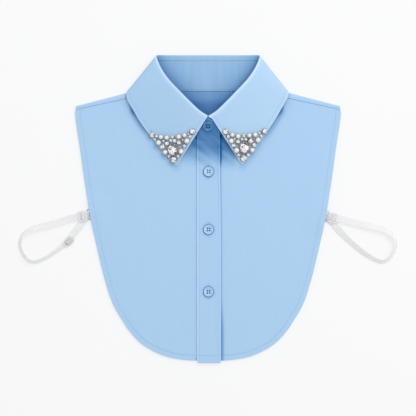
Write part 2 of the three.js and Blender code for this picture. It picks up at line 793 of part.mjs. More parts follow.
function placeOn(piece, seat) {
  seat.decompose(piece.position, piece.quaternion, piece.scale);
}

function lathed(profile, sides) {
  const points = profile.map(([radius, height]) => new THREE.Vector2(radius, height));
  return cleaned(new THREE.LatheGeometry(points, sides).rotateX(Math.PI / 2));
}

// A four-hole shirt button with a raised rim
function button(radius) {
  const body = toSolid(
    lathed(
      [
        [0, 0],
        [0.8 * radius, 0],
        [radius, 0.4 * buttonThickness],
        [0.93 * radius, 0.9 * buttonThickness],
        [0.8 * radius, buttonThickness],
        [0.66 * radius, 0.72 * buttonThickness],
        [0, 0.66 * buttonThickness],
      ],
      16,
    ),
  );
  let cut = body;
  for (const x of [-0.5, 0.5]) {
    for (const y of [-0.5, 0.5]) {
      const hole = new THREE.CylinderGeometry(buttonHoleRadius, buttonHoleRadius, 4 * buttonThickness, 6);
      hole.rotateX(Math.PI / 2).translate(x * buttonHoleSpacing, y * buttonHoleSpacing, 0);
      cut = cut.subtract(toSolid(hole));
    }
  }
  return fromSolid(cut);
}

// Stones

// A cut stone in its cup: the cup's wall, the girdle, eight crown facets and the table
function cutStone(size, small) {
  const radius = size / 2;
  const height = Math.max(0.62 * size, 2);
  const foot = [
    [0, 0],
    [0.6 * radius, 0],
    [radius, 0.42 * height],
  ];
  const girdle = [
    [0.98 * radius, 0.56 * height],
    [0.86 * radius, 0.62 * height],
  ];
  const table = [
    [0.52 * radius, 0.95 * height],
    [0, 0.95 * height],
  ];
  return lathed([...foot, ...(small ? [] : girdle), ...table], 8);
}

function claw(size, angle) {
  const height = 0.6 * Math.max(0.62 * size, 2);
  const width = Math.max(0.09 * size, 0.45);
  const post = new THREE.BoxGeometry(width, width, height);
  post.translate(0.46 * size, 0, 0.35 * height + height / 2);
  return post.rotateZ(angle);
}

function roundPearl(size) {
  const ball = new THREE.SphereGeometry(size / 2, 10, 5);
  return cleaned(ball.rotateX(Math.PI / 2).translate(0, 0, size / 2));
}

function stone(row) {
  const size = row.size * mainStoneLength;
  if (row.kind === "pearl") {
    return [roundPearl(size)];
  }
  const pieces = [cutStone(size, row.beside)];
  if (row.kind === "oval") {
    for (const turn of [0.25, 0.75, 1.25, 1.75]) {
      pieces.push(claw(size, turn * Math.PI));
    }
    pieces.forEach((piece) => piece.scale(mainStoneShare, 1, 1));
  }
  return pieces;
}

// A flat bar between the settings of two stones, in the frame of the first
function settingBar(place, size) {
  const bar = new THREE.BoxGeometry(place.length(), 0.14 * size, 0.5);
  bar.translate(place.length() / 2, 0, 0.25);
  const way = place.clone().normalize();
  bar.applyQuaternion(new THREE.Quaternion().setFromUnitVectors(new THREE.Vector3(1, 0, 0), way));
  return bar;
}

function stoneCluster(side, leaf) {
  const sign = side === "left" ? -1 : 1;
  const centreX = tips[side].across + clusterFromTip.out;
  const centreY = -tips[side].drop + clusterFromTip.up;
  let count = 0;
  let owner = null;
  const built = [];
  for (const row of stoneRows[side]) {
    const x = sign * (centreX + row.across * clusterWidth);
    const seat = seatOn(leaf, x, centreY + row.up * clusterWidth);
    const pieces = stone(row);
    if (row.beside) {
      const local = owner.seat.clone().invert().multiply(seat);
      const place = new THREE.Vector3().setFromMatrixPosition(local);
      owner.pieces.push(...pieces.map((piece) => piece.applyMatrix4(local)));
      owner.pieces.push(settingBar(place, mainStoneLength));
    } else {
      count += 1;
      owner = { name: row.kind + "_" + side + "_" + count, kind: row.kind, pieces, seat };
      built.push(owner);
    }
  }
  for (const { name, kind, pieces, seat } of built) {
    const finish = kind === "pearl" ? pearl : crystal;
    placeOn(addPiece(name, joined(pieces), finish), seat);
  }
}

// Side loops

const tapeStep = 0.004;

// The tape's centre, the way it runs, the way across it and the way off its face, at each row
function tapeFrames(rows, side) {
  const centre = curveThrough(rows.map((row) => row.place));
  const turn = side === "left" ? 1 : -1;
  const steps = rows.length - 1;
  return rows.map((row, i) => {
    const share = i / steps;
    const next = centre(Math.min(share + tapeStep, 1));
    const ahead = next.sub(centre(Math.max(share - tapeStep, 0))).normalize();
    const inward = new THREE.Vector3(0, 0, 1).cross(ahead).multiplyScalar(turn).normalize();
    const across = inward.applyAxisAngle(ahead, turn * row.tilt);
    const off = ahead.clone().cross(across).multiplyScalar(turn);
    return { place: row.place, ahead, across, off };
  });
}

function loopPath(side) {
  const sign = side === "left" ? -1 : 1;
  const anchor = anchors[side];
  const at = (out, down, height, tilt) => ({
    place: new THREE.Vector3(anchor.x + sign * out, anchor.y - down, height),
    tilt: THREE.MathUtils.degToRad(tilt),
  });
  const fall = Math.tan(strapSlope);
  const passing = sliderWall / 2 + gap + strapWall / 2;
  const onRing = ringOut + (ringLength - ringWire) / 2;
  const overRing = ringBase + ringWire + gap + strapWall / 2;
  const rows = [at(onRing - 1, (onRing - 1) * fall, overRing, 0)];
  for (const bar of [-1, 0, 1]) {
    const height = sliderLevel + (bar === 0 ? passing : -passing);
    for (const edge of [-barClearance, barClearance]) {
      const out = sliderOut + bar * sliderBarPitch + edge * sliderBar;
      rows.push(at(out, out * fall, height, 0));
    }
  }
  for (const row of loopRows[side]) {
    const turn = THREE.MathUtils.degToRad(row.tilt);
    const height = (strapWidth * Math.sin(turn) + strapWall * Math.cos(turn)) / 2 + gap / 2;
    rows.push(at(row.out * loopReach, row.down * loopDrop, height, row.tilt));
  }
  const low = strapWall / 2 + gap / 3;
  rows.push(at(0.105 * loopReach, 0.15 * loopDrop, low + gap / 3, 3));
  rows.push(at(0.05 * loopReach, 0.075 * loopDrop, low, 0));
  rows.push(at(-0.5 * backInset, 0.01 * loopDrop, low, 0));
  rows.push(at(-backInset + 2 * gap, 0, low, 0));
  return rows;
}

function strapLoop(frames) {
  const corners = [
    [-0.5, -0.5],
    [0.5, -0.5],
    [0.5, 0.5],
    [-0.5, 0.5],
  ];
  const ring = ({ place, across, off }) =>
    corners.map(([a, b]) =>
      place.clone().addScaledVector(across, a * strapWidth).addScaledVector(off, b * strapWall),
    );
  return throughRings(frames.map(ring));
}

// The corner points of a rectangle with round corners, anticlockwise
function roundedRectangle(length, width, radius) {
  const points = [];
  for (let corner = 0; corner < 4; corner++) {
    const x = (length / 2 - radius) * (corner === 0 || corner === 3 ? 1 : -1);
    const y = (width / 2 - radius) * (corner < 2 ? 1 : -1);
    for (let step = 0; step <= 3; step++) {
      const turn = ((corner + step / 3) * Math.PI) / 2;
      points.push(new THREE.Vector2(x + radius * Math.cos(turn), y + radius * Math.sin(turn)));
    }
  }
  return points;
}

function extruded(shape, wall) {
  const solid = new THREE.ExtrudeGeometry(shape, { depth: wall, bevelEnabled: false });
  return cleaned(solid.translate(0, 0, -wall / 2));
}

function rounded(length, width, radius, wall) {
  return extruded(new THREE.Shape(roundedRectangle(length, width, radius)), wall);
}

// A figure-8 slider with its middle bar across the strap
function sliderFrame(pitch, width) {
  let frame = toSolid(rounded(2 * pitch + sliderBar, width, 1.4 * sliderBar, sliderWall));
  for (const x of [-0.5, 0.5]) {
    const window = new THREE.BoxGeometry(pitch - sliderBar, width - 2 * sliderBar, 2 * sliderWall);
    frame = frame.subtract(toSolid(window.translate(x * pitch, 0, 0)));
  }
  return fromSolid(frame);
}

function ringFrame() {
  const frame = toSolid(rounded(ringLength, ringWidth, 2 * ringWire, ringWire));
  const hole = rounded(ringLength - 2 * ringWire, ringWidth - 2 * ringWire, ringWire, 2 * ringWire);
  return fromSolid(frame.subtract(toSolid(hole)));
}

function sideLoop(side) {
  const sign = side === "left" ? -1 : 1;
  const anchor = anchors[side];
  const slope = -sign * strapSlope;
  const onStrap = (out, height) =>
    new THREE.Vector3(anchor.x + sign * out, anchor.y - out * Math.tan(strapSlope), height);
  const frames = tapeFrames(loopPath(side), side);
  addPiece("strap_loop_" + side, strapLoop(frames), elastic);

  const slider = addPiece("slider_" + side, sliderFrame(sliderBarPitch, sliderWidth), white);
  slider.position.copy(onStrap(sliderOut, sliderLevel));
  slider.rotation.z = slope;

  const ring = addPiece("ring_" + side, ringFrame(), steel);
  ring.position.copy(onStrap(ringOut, ringBase + ringWire / 2));
  ring.rotation.z = slope;

  const tape = new THREE.BoxGeometry(ringTabLength, strapWidth, strapWall);
  const tab = addPiece("ring_tab_" + side, tape, elastic);
  const tabOut = ringOut - ringLength / 2 - gap - ringTabLength / 2;
  tab.position.copy(onStrap(tabOut, clothWall + gap + strapWall / 2));
  tab.rotation.z = slope;
  return frames;
}

function adjuster(frames) {
  const place = adjusterAt * (frames.length - 1);
  const { ahead, across, off, place: centre } = frames[Math.round(place)];
  const piece = addPiece("adjuster_left", sliderFrame(adjusterPitch, adjusterWidth), white);
  piece.position.copy(centre).addScaledVector(off, (strapWall + sliderWall) / 2 + gap);
  piece.position.addScaledVector(across, (adjusterWidth - strapWidth) / 2 + gap);
  piece.quaternion.setFromRotationMatrix(new THREE.Matrix4().makeBasis(ahead, across, off));
}

addPiece("back_panel", backPanel(), cloth);
addPiece("front_panel_left", frontPanel("left"), cloth);
addPiece("front_panel_right", frontPanel("right"), cloth);
const placketPiece = addPiece("placket", placket(), cloth);
const standPiece = addPiece("collar_stand", collarStand(), cloth);
const leafPiece = addPiece("collar_leaf", collarLeaf(), cloth);

for (const row of placketButtons) {
  const piece = addPiece(row.name, button(buttonRadius), cloth);
  placeOn(piece, seatOn(placketPiece, placketOffset / 2, -row.down * bibLength));
}
const collarButton = addPiece("button_collar", button(collarButtonRadius), cloth);
placeOn(collarButton, seatOn(standPiece, 0, mix(neckFrontY, vPointY, collarButtonShare)));

stoneCluster("left", leafPiece);
stoneCluster("right", leafPiece);

adjuster(sideLoop("left"));
sideLoop("right");

group.updateMatrixWorld(true);
const box = new THREE.Box3().setFromObject(group, true);
group.position.set(-(box.min.x + box.max.x) / 2, -(box.min.y + box.max.y) / 2, -box.min.z);

const part = new THREE.Group();
part.add(group);
export default part;
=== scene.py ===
# A detachable shirt bib with a jewelled collar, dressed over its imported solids.
# The bib's own sizes are millimetres with Y = 0 at the shoulder tips, as the solids are drawn,
# and in_frame turns a point to metres in the row frame.
import math
import random

import bmesh
import bpy
from mathutils import Matrix, Quaternion, Vector, geometry, kdtree, noise
from mathutils.bvhtree import BVHTree


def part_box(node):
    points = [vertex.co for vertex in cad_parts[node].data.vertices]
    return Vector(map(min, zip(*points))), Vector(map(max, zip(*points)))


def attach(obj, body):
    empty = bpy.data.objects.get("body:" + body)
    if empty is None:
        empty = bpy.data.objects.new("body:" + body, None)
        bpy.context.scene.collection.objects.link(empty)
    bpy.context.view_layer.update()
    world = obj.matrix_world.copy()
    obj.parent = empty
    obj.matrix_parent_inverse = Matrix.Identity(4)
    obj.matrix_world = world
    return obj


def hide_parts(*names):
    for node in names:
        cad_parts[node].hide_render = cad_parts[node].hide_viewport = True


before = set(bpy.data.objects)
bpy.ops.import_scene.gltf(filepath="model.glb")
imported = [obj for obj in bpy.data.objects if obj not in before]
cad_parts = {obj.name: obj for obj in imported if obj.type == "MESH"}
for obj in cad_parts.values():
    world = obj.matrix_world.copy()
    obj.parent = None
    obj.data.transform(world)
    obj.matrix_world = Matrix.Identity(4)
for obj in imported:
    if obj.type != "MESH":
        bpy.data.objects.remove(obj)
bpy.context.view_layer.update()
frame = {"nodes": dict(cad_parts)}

bl_info = {
    "name": "Shirt Bib with Jewelled Collar",
    "version": (1, 0, 0),
    "blender": (4, 5, 0),
    "location": "3D View > Sidebar > Bib",
    "description": "Dresses a packed shirt bib in cloth, thread, stones and elastic",
    "category": "Object",
}

MM = 0.001
BODY = "root"
UP = Vector((0, 0, 1))

# Walls and clearances of the solids
CLOTH_WALL = 1.2
STAND_WALL = 1.2
LEAF_WALL = 1.2
GAP = 0.35

# Bib
HALF_WIDTH = 152.7
BIB_LENGTH = 292
SHOULDER_RISE = 20.6
BACK_INSET = 6
NECK_HALF_WIDTH = 71.9
BACK_NECK_RISE = 17.4
NECK_DROP = 53.6
NECK_SWELL = 1.5
NECK_SWELL_MARGIN = 10
NECK_SWELL_SHARE = 0.8
YOKE_AT_NECK = 5.9
YOKE_AT_TIP = 2.6
YOKE_UNDER_REACH = 7
YOKE_START = 0.03
YOKE_LAP = 0.9
YOKE_RUN = 81
YOKE_STEP = 1.6
NECK_GAP = 0.6
BACK_SEAM_ALLOWANCE = 4

# Placket
PLACKET_WIDTH = 27.6
PLACKET_OFFSET = 1.2
PLACKET_OVERHANG = 2.6
PLACKET_CORNER = 2.2
PLACKET_TUCK = 1.8
PLACKET_LEAN = 1.2
PLACKET_LIFT = 1.7
FOLD_PITCH = 11
HEM_CORNER_MARGIN = 12
NECK_CORNER_MARGIN = 1.5
PANEL_UNDER_PLACKET = 3
ARMHOLE_STEPS = 150
HEM_STEPS = 90
PLACKET_LEFT = PLACKET_OFFSET - PLACKET_WIDTH / 2

# Buttons
BUTTON_RADIUS = 6.6
COLLAR_BUTTON_RADIUS = 5.7
BUTTON_THICKNESS = 2.6
BUTTON_HOLE_RADIUS = 1.2
BUTTON_HOLE_SPACING = 2.9
BUTTON_EASE = 0.9
BUTTON_DOWNS = {"button_upper": 0.2565, "button_middle": 0.4837, "button_lower": 0.7286}
COLLAR_BUTTON_SHARE = 0.56

# Collar
STAND_BACK_REACH = 40.7
STAND_FRONT_REACH = 24.4
FOLD_INSET = 11.3
FOLD_HEIGHT = 19.5
STAND_OVERLAP = 13.8
STAND_UNDERLAP = 7.2
STAND_END_LOW = 0.35
STAND_END_HIGH = 0.95
STAND_RUN = 35
LEAF_OVERHANG = 21.4
LEAF_TURN_RISE = 16.3
LEAF_BACK_DROP = 8.3
LEAF_EDGE_BOWS = {"left": 5.7, "right": 3.3}
LEAF_LIFT = 4.0
LEAF_LIP = 4.6
LEAF_EDGE_RUN = 8
LEAF_EDGE_MARGIN = 1
LEAF_TURN_MARGIN = 2
TIP_ROUNDING = 2.4
# Painted highlights: a light line along the leaf's edges and along the crest of its fold
EDGE_HIGHLIGHT = 0.12
FOLD_HIGHLIGHT = 0.2
TURN_INSETS = {"left": -0.6, "right": 0.3}
FRONT_EASE = 2.8
FOLD_COLUMN = 16
LEAF_FRONT_END = 7.2
COLLAR_STEPS = 6
FRONT_STEPS = 22
FALL_STEPS = 26
TIPS = {"left": (36.6, 69.4), "right": (39.3, 68.1)}
STONE_TIPS = {"left": (37.1, 67.5), "right": (38.6, 65.3)}

# Stones
MAIN_STONE_LENGTH = 13.2
MAIN_STONE_SHARE = 0.9
CLUSTER_WIDTH = 46
CLUSTER_OUT = 2.7
CLUSTER_UP = 18.4
STONE_SWELL = {"oval": 1.02, "crystal": 1.08, "clear": 1.2, "pearl": 1.14}

# Side loops and their hardware
STRAP_WIDTH = 8.7
STRAP_WALL = 0.8
LOOP_REACH = 80.4
LOOP_DROP = 54.9
STRAP_SLOPE = math.radians(12)
SLIDER_WALL = 1.2
SLIDER_BAR = 1.2
SLIDER_BAR_PITCH = 4.05
SLIDER_WIDTH = 12
SLIDER_OUT = 8.5
BAR_CLEARANCE = 0.6
ADJUSTER_PITCH = 5.3
ADJUSTER_WIDTH = 11
ADJUSTER_AT = 0.786
TILT_EASE = 0.86
RING_WIRE = 1.3
RING_LENGTH = 9.1
RING_WIDTH = 13
RING_OUT = -1.4
RING_TAB_LENGTH = 9
STRAP_ANCHORS = {"left": 0.424, "right": 0.431}
TAPE_STEPS = 260
TAPE_COLUMNS = 29
TAPE_RIBS = 7

# Seams: how far each row of stitches lies inside its edge
HEM_SEAM = 6
LEAF_SEAM = 4.2
PLACKET_SEAM = 2.3
STAND_SEAM = 2.2
YOKE_SEAM = 1.6
LIP_SEAM = 1.1
NO_SEAM = 99.0

# Rings of points beside a seam, and the share of a wall left from a piece's edge inwards
SEAM_RINGS = (-0.9, -0.35, 0, 0.35, 0.9, 2.4)
WALL_BY_EDGE = (0, 0.75, 1)

# Shade that lies in the neck and under the collar, as a power of SHADE_TINT
SHADE_TINT = (0.172, 0.33, 0.525)
DEEP_TINT = (0.05, 0.577, 0.82)
DEEP_FROM = 0.9
SHADE_TOP = 45.3
SHADE_RUN = 27.6
SHADE_SLANT = 0.1
SHADE_HALF_WIDTH = 27
SHADE_SIDE_RUN = 11
SHADE_FALL = 1.6
STAND_SHADE = 0.15
NECK_SHADE = 0.46
NECK_STREAKS = 0.06
NECK_SHADE_RISE = 0.18
NECK_SHADE_REACH = (74, 46)
FOLD_SHADE = 0.48
FOLD_SHADE_REACH = 8
LEAF_LIGHT = 0.03
LEAF_SHADE = 0.38
LEAF_SHADE_REACH = 5.2
LEAF_CORE = 1.1
LEAF_CORE_REACH = 1.9
LEAF_LINE = 0.2
LEAF_LINE_REACH = 0.9
DEEPEST_SHADE = 2.3

# Shade by the placket and its buttons: at rest, where the placket is lifted, where it is loose
GAP_SHADES = (0.27, 2.0, 0.35)
GAP_REACHES = (1.0, 0.35, 1.3)
SEWN_SHADES = (0.32, 0.9)
SEWN_REACH = 0.9
RIDGE_LIGHT = 0.19
BUTTON_SHADE = 0.55
BUTTONHOLE_SHADE = 0.12
BUTTONHOLE_REACH = 10

# Painted shade on each row of stitches, and on the thread in a button's holes, under the collar or
# not
HEM_STITCH_SHADE = 1.05
YOKE_STITCH_SHADE = 0.35
COLLAR_STITCH_SHADE = 0.3
BUTTON_THREAD_SHADES = {True: 0.55, False: 1.15}

# Slow unevenness of cloth that was smoothed by hand, and the lean of the placket's edge
DRIFT_BROAD = 0.26
DRIFT_NARROW = 0.09
LEAN_FROM_Y = -175
LEAN_TO_Y = -45

# Stage, in metres
VIEW_CENTRE = Vector((0.0003, 0.0016, 0))
FLOOR_REACH = 3.0
FLOOR_LEVEL = -0.0002
KEY_SIZE = 1.5
KEY_PLACE = Vector((0.65, 0.95, 1.9))

# Levels that follow from the sizes above
NECK_FRONT_Y = BACK_NECK_RISE - NECK_DROP
COLLAR_TOP_Y = BACK_NECK_RISE + STAND_BACK_REACH
V_POINT_Y = NECK_FRONT_Y + STAND_FRONT_REACH
FOLD_HALF_WIDTH = NECK_HALF_WIDTH - FOLD_INSET
LEAF_TURN_HALF_WIDTH = NECK_HALF_WIDTH + LEAF_OVERHANG
LAP_STEP = STAND_WALL + GAP
HOOK_RADIUS = 1.05
FOLD_REACH = 1.5
RING_BASE = STRAP_WALL + 2 * GAP
SLIDER_LEVEL = RING_BASE + RING_WIRE + GAP + STRAP_WALL + SLIDER_WALL / 2

# Where the solids' drawing lies in the row frame
PLACKET_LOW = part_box("placket")[0]
SHIFT = Vector((
    PLACKET_LOW.x - MM * PLACKET_LEFT,
    PLACKET_LOW.y + MM * (BIB_LENGTH + PLACKET_OVERHANG),
    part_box("back_panel")[0].z,
))

# Armhole and hem from the shoulder tip to the middle of the hem: across as a share of
# HALF_WIDTH, down as a share of BIB_LENGTH
OUTLINE_ROWS = (
    (0.994, 0), (1, 0.025), (0.964, 0.163), (0.926, 0.305), (0.881, 0.447),
    (0.821, 0.589), (0.776, 0.683), (0.715, 0.778), (0.61, 0.872), (0.531, 0.92),
    (0.452, 0.951), (0.32, 0.983), (0.16, 0.998), (0, 1),
)
CORNER_ROW = 8

# Collar sections from the V point to the side turn: the visible fold as shares of
# FOLD_HALF_WIDTH, of the drop to the V point and of FOLD_HEIGHT, the neck seam as shares of
# NECK_HALF_WIDTH and NECK_DROP, and the leaf's outer edge along the way to the tip
FRONT_KEYS = ("fold_across", "fold_down", "fold_up", "seam_across", "seam_down",
              "along", "bow", "lift", "fall", "lap", "lip")
FRONT_SECTIONS = (
    (0.003, 0.985, 0.77, 0.144, 1, 1, 0, 0, 1.1, 1, 0.1),
    (0.15, 0.905, 0.85, 0.32, 0.807, 0.779, 0.46, 0.03, 1.15, 0.8, 0.25),
    (0.344, 0.748, 0.95, 0.496, 0.56, 0.554, 0.86, 0.18, 1.2, 0.45, 1),
    (0.536, 0.579, 1, 0.672, 0.335, 0.369, 1, 0.45, 1.2, 0.15, 1),
    (0.743, 0.387, 0.97, 0.8, 0.17, 0.18, 0.8, 0.9, 1.15, 0, 1),
    (0.885, 0.206, 0.88, 0.904, 0.034, 0.073, 0.63, 0.85, 1.1, 0, 1),
    (0.952, 0.074, 0.75, 0.976, -0.04, 0.015, 0.14, 0.55, 1.05, 0, 1),
)

# Collar sections from the side turn to the middle of the back, with the leaf's edge under the
# back panel as shares of the turn's half width, of LEAF_BACK_DROP and of FOLD_HEIGHT
BACK_KEYS = ("fold_across", "fold_down", "fold_up", "seam_across", "seam_down",
             "edge_across", "edge_down", "edge_up", "fall", "front")
BACK_SECTIONS = (
    (0.968, 0.01, 0.58, 1, -0.054, 0.993, 0, 0.23, 1.5, 0.5),
    (0.945, -0.006, 0.46, 0.968, -0.024, 0.985, 0.12, 0.031, 3, 0),
    (0.759, -0.006, 0.44, 0.768, -0.004, 0.803, 0.65, 0.031, 4, 0),
    (0.436, -0.006, 0.44, 0.416, 0, 0.414, 0.93, 0.031, 4, 0),
    (0, -0.006, 0.44, 0, 0, 0, 1, 0.031, 4, 0),
)
LAST_PLACE = 2 * len(FRONT_SECTIONS) + 2 * len(BACK_SECTIONS) - 2

# Stones of each cluster from its oval: kind, then across (outwards) and up as shares of
# CLUSTER_WIDTH, and size as a share of MAIN_STONE_LENGTH
STONE_ROWS = {
    "left": (
        ("oval", 0, 0, 1), ("crystal", -0.02, -0.263, 0.55), ("crystal", 0.102, -0.172, 0.34),
        ("crystal", -0.13, -0.163, 0.34), ("pearl", -0.208, -0.045, 0.47),
        ("pearl", 0.192, -0.067, 0.42), ("crystal", 0.265, 0.065, 0.45),
        ("pearl", 0.358, 0.173, 0.45), ("crystal", 0.158, 0.148, 0.43),
        ("clear", 0.24, 0.215, 0.24), ("clear", 0.058, 0.215, 0.26),
        ("crystal", -0.152, 0.173, 0.43), ("clear", -0.037, 0.215, 0.33),
        ("crystal", -0.237, 0.23, 0.22), ("crystal", -0.277, 0.093, 0.38),
        ("pearl", -0.35, 0.215, 0.47), ("crystal", -0.48, 0.44, 0.49),
        ("crystal", -0.422, 0.32, 0.29), ("crystal", -0.378, 0.384, 0.23),
        ("pearl", -0.29, 0.355, 0.38), ("pearl", -0.148, 0.32, 0.42),
        ("crystal", 0.01, 0.308, 0.32), ("pearl", 0.155, 0.298, 0.4),
        ("pearl", 0.298, 0.315, 0.4), ("crystal", 0.525, 0.365, 0.45),
        ("pearl", 0.412, 0.325, 0.26), ("crystal", 0.448, 0.25, 0.24),
    ),
    "right": (
        ("oval", 0, 0, 1), ("crystal", -0.015, -0.273, 0.55), ("crystal", -0.135, -0.185, 0.34),
        ("crystal", 0.095, -0.18, 0.33), ("pearl", -0.2, -0.07, 0.47),
        ("pearl", 0.198, -0.06, 0.43), ("crystal", -0.265, 0.055, 0.39),
        ("pearl", -0.33, 0.168, 0.45), ("crystal", -0.155, 0.15, 0.43),
        ("clear", -0.235, 0.215, 0.22), ("clear", -0.052, 0.198, 0.23),
        ("crystal", 0.155, 0.168, 0.48), ("pearl", 0.035, 0.202, 0.28),
        ("crystal", 0.253, 0.06, 0.4), ("pearl", 0.34, 0.19, 0.46),
        ("crystal", -0.465, 0.385, 0.48), ("crystal", -0.4, 0.27, 0.34),
        ("pearl", -0.302, 0.318, 0.39), ("pearl", -0.16, 0.283, 0.42),
        ("crystal", -0.015, 0.298, 0.32), ("pearl", 0.123, 0.305, 0.4),
        ("pearl", 0.268, 0.325, 0.42), ("crystal", 0.505, 0.402, 0.49),
        ("crystal", 0.383, 0.362, 0.25), ("crystal", 0.425, 0.285, 0.29),
    ),
}

# Centre lines of the side loops: out and down as shares of LOOP_REACH and LOOP_DROP, and the
# turn of the tape on its outer edge in degrees
LOOP_ROWS = {
    "left": (
        (0.286, 0.099, 16), (0.491, 0.18, 32), (0.71, 0.262, 46), (0.841, 0.317, 58),
        (0.928, 0.39, 67), (0.983, 0.501, 73), (1, 0.614, 75), (0.983, 0.742, 75),
        (0.944, 0.855, 74), (0.884, 0.96, 73), (0.808, 1, 73), (0.71, 0.966, 74),
        (0.599, 0.887, 74), (0.491, 0.782, 72), (0.381, 0.662, 60), (0.305, 0.566, 44),
        (0.239, 0.421, 36), (0.162, 0.277, 20),
    ),
    "right": (
        (0.361, 0.12, 24), (0.525, 0.176, 36), (0.69, 0.231, 47), (0.798, 0.273, 56),
        (0.886, 0.327, 64), (0.963, 0.432, 71), (0.996, 0.528, 74), (0.99, 0.656, 75),
        (0.951, 0.786, 74), (0.897, 0.897, 72), (0.81, 0.954, 70), (0.722, 0.922, 67),
        (0.579, 0.809, 60), (0.471, 0.69, 55), (0.361, 0.553, 50), (0.252, 0.4, 40),
        (0.163, 0.256, 22),
    ),
}

SIGNS = {"left": -1, "right": 1}


# Sizes and colours that a user may change

class BibClothSettings(bpy.types.PropertyGroup):
    color: bpy.props.FloatVectorProperty(
        name="Cloth", description="Colour of the cloth, its buttons and its thread",
        subtype="COLOR", min=0, max=1, default=(0.414, 0.624, 0.860))
    thickness: bpy.props.FloatProperty(
        name="Thickness", description="Cloth with its turned hem",
        unit="LENGTH", min=0.0003, max=0.0012, default=0.0009)
    thread_pitch: bpy.props.FloatProperty(
        name="Thread Pitch", description="From one thread of the weave to the next",
        unit="LENGTH", min=0.0001, max=0.002, default=0.00036)
    stitch_pitch: bpy.props.FloatProperty(
        name="Stitch Pitch", description="From one stitch to the next",
        unit="LENGTH", min=0.001, max=0.01, default=0.0025)
    stitch_length: bpy.props.FloatProperty(
        name="Stitch Length", description="Visible length of a stitch",
        unit="LENGTH", min=0.0005, max=0.01, default=0.001)
    stitch_width: bpy.props.FloatProperty(
        name="Stitch Width", description="Thickness of the sewing thread",
        unit="LENGTH", min=0.0001, max=0.002, default=0.0006)
    fold_depth: bpy.props.FloatProperty(
        name="Fold Depth", description="Height of the soft folds below the collar button",
        unit="LENGTH", min=0, max=0.002, default=0.0006)


class BibTrimSettings(bpy.types.PropertyGroup):
    setting_color: bpy.props.FloatVectorProperty(
        name="Settings", description="Colour of the stones' metal cups and claws",
        subtype="COLOR", min=0, max=1, default=(0.6, 0.54, 0.48))
    pearl_color: bpy.props.FloatVectorProperty(
        name="Pearls", description="Colour of the pearls",
        subtype="COLOR", min=0, max=1, default=(0.86, 0.84, 0.80))
    elastic_color: bpy.props.FloatVectorProperty(
        name="Elastic", description="Colour of the side loops",
        subtype="COLOR", min=0, max=1, default=(0.775, 0.775, 0.785))
    plastic_color: bpy.props.FloatVectorProperty(
        name="Sliders", description="Colour of the plastic sliders",
        subtype="COLOR", min=0, max=1, default=(0.85, 0.85, 0.86))
    ring_color: bpy.props.FloatVectorProperty(
        name="Rings", description="Colour of the metal rings",
        subtype="COLOR", min=0, max=1, default=(0.43, 0.45, 0.49))
    rib_depth: bpy.props.FloatProperty(
        name="Rib Depth", description="Depth of the ribs along the elastic",
        unit="LENGTH", min=0, max=0.0003, default=0.00007)


class BibStageSettings(bpy.types.PropertyGroup):
    view_width: bpy.props.FloatProperty(
        name="View Width", description="Width of floor that the camera sees",
        unit="LENGTH", min=0.1, max=5, default=0.4784)
    focal_length: bpy.props.FloatProperty(
        name="Focal Length", description="Camera lens in millimetres", min=20, max=400, default=200)
    key_strength: bpy.props.FloatProperty(
        name="Key Light", description="Power of the soft light above, in watts",
        min=0, max=500, default=21)
    sky_strength: bpy.props.FloatProperty(
        name="Room Light", description="Brightness of the pale room", min=0, max=5, default=0.7)


# Curves, grids and heights

def in_frame(point):
    return point * MM + SHIFT


def mix(a, b, share):
    return a + (b - a) * share


def smoothstep(value, low, high):
    share = min(max((value - low) / (high - low), 0), 1)
    return share * share * (3 - 2 * share)


def bell(value, width):
    """1 at 0, and falling away smoothly on both sides to nothing a few widths off."""
    return math.exp(-((value / width) ** 2))


def half_cloth():
    """Half the thickness of the cloth in millimetres."""
    return bpy.context.scene.bib_cloth.thickness / MM / 2


def run_lengths(points):
    """The way along a line to each of its points."""
    runs = [0]
    for last, point in zip(points, points[1:]):
        runs.append(runs[-1] + (point - last).length)
    return runs


def catmull_rom(points):
    """A smooth curve through the points, read by a share of its whole run of points."""
    last = len(points) - 1

    def at(share):
        place = min(max(share, 0), 1) * last
        i = min(int(place), last - 1)
        w = place - i
        p1, p2 = points[i], points[i + 1]
        p0 = points[i - 1] if i > 0 else 2 * p1 - p2
        p3 = points[i + 2] if i + 2 <= last else 2 * p2 - p1
        d0, d1, d2 = (math.sqrt(max((b - a).length, 1e-6)) for a, b in ((p0, p1), (p1, p2), (p2, p3)))
        t1 = ((p1 - p0) / d0 - (p2 - p0) / (d0 + d1) + (p2 - p1) / d1) * d1
        t2 = ((p2 - p1) / d1 - (p3 - p1) / (d1 + d2) + (p3 - p2) / d2) * d1
        bend = 3 * (p2 - p1) - 2 * t1 - t2
        return p1 + t1 * w + bend * w ** 2 + (2 * (p1 - p2) + t1 + t2) * w ** 3

    return at


def sampled(curve, count):
    return [curve(i / count) for i in range(count + 1)]


def straight(start, end, count):
    return [start.lerp(end, i / count) for i in range(count + 1)]


def back_height(x, y):
    edge_y = LEAF_TURN_RISE - LEAF_BACK_DROP - LEAF_EDGE_MARGIN
    turn_x = LEAF_TURN_HALF_WIDTH + LEAF_TURN_MARGIN
    over_edge = smoothstep(y, edge_y - LEAF_EDGE_RUN, edge_y)
    over_turn = 1 - smoothstep(abs(x), turn_x, turn_x + LEAF_EDGE_RUN)
    return CLOTH_WALL / 2 + (LEAF_WALL + GAP) * over_edge * over_turn


def strap_anchor(side):
    down = STRAP_ANCHORS[side]
    at = next(i for i, row in enumerate(OUTLINE_ROWS) if row[1] > down)
    before, after = OUTLINE_ROWS[at - 1], OUTLINE_ROWS[at]
    share = (down - before[1]) / (after[1] - before[1])
    return Vector((SIGNS[side] * HALF_WIDTH * mix(before[0], after[0], share), -BIB_LENGTH * down, 0))


ANCHORS = {side: strap_anchor(side) for side in SIGNS}
STRAP_SWELL = RING_BASE + RING_WIRE - CLOTH_WALL
STRAP_SWELL_RADIUS = RING_TAB_LENGTH + RING_WIDTH + GAP


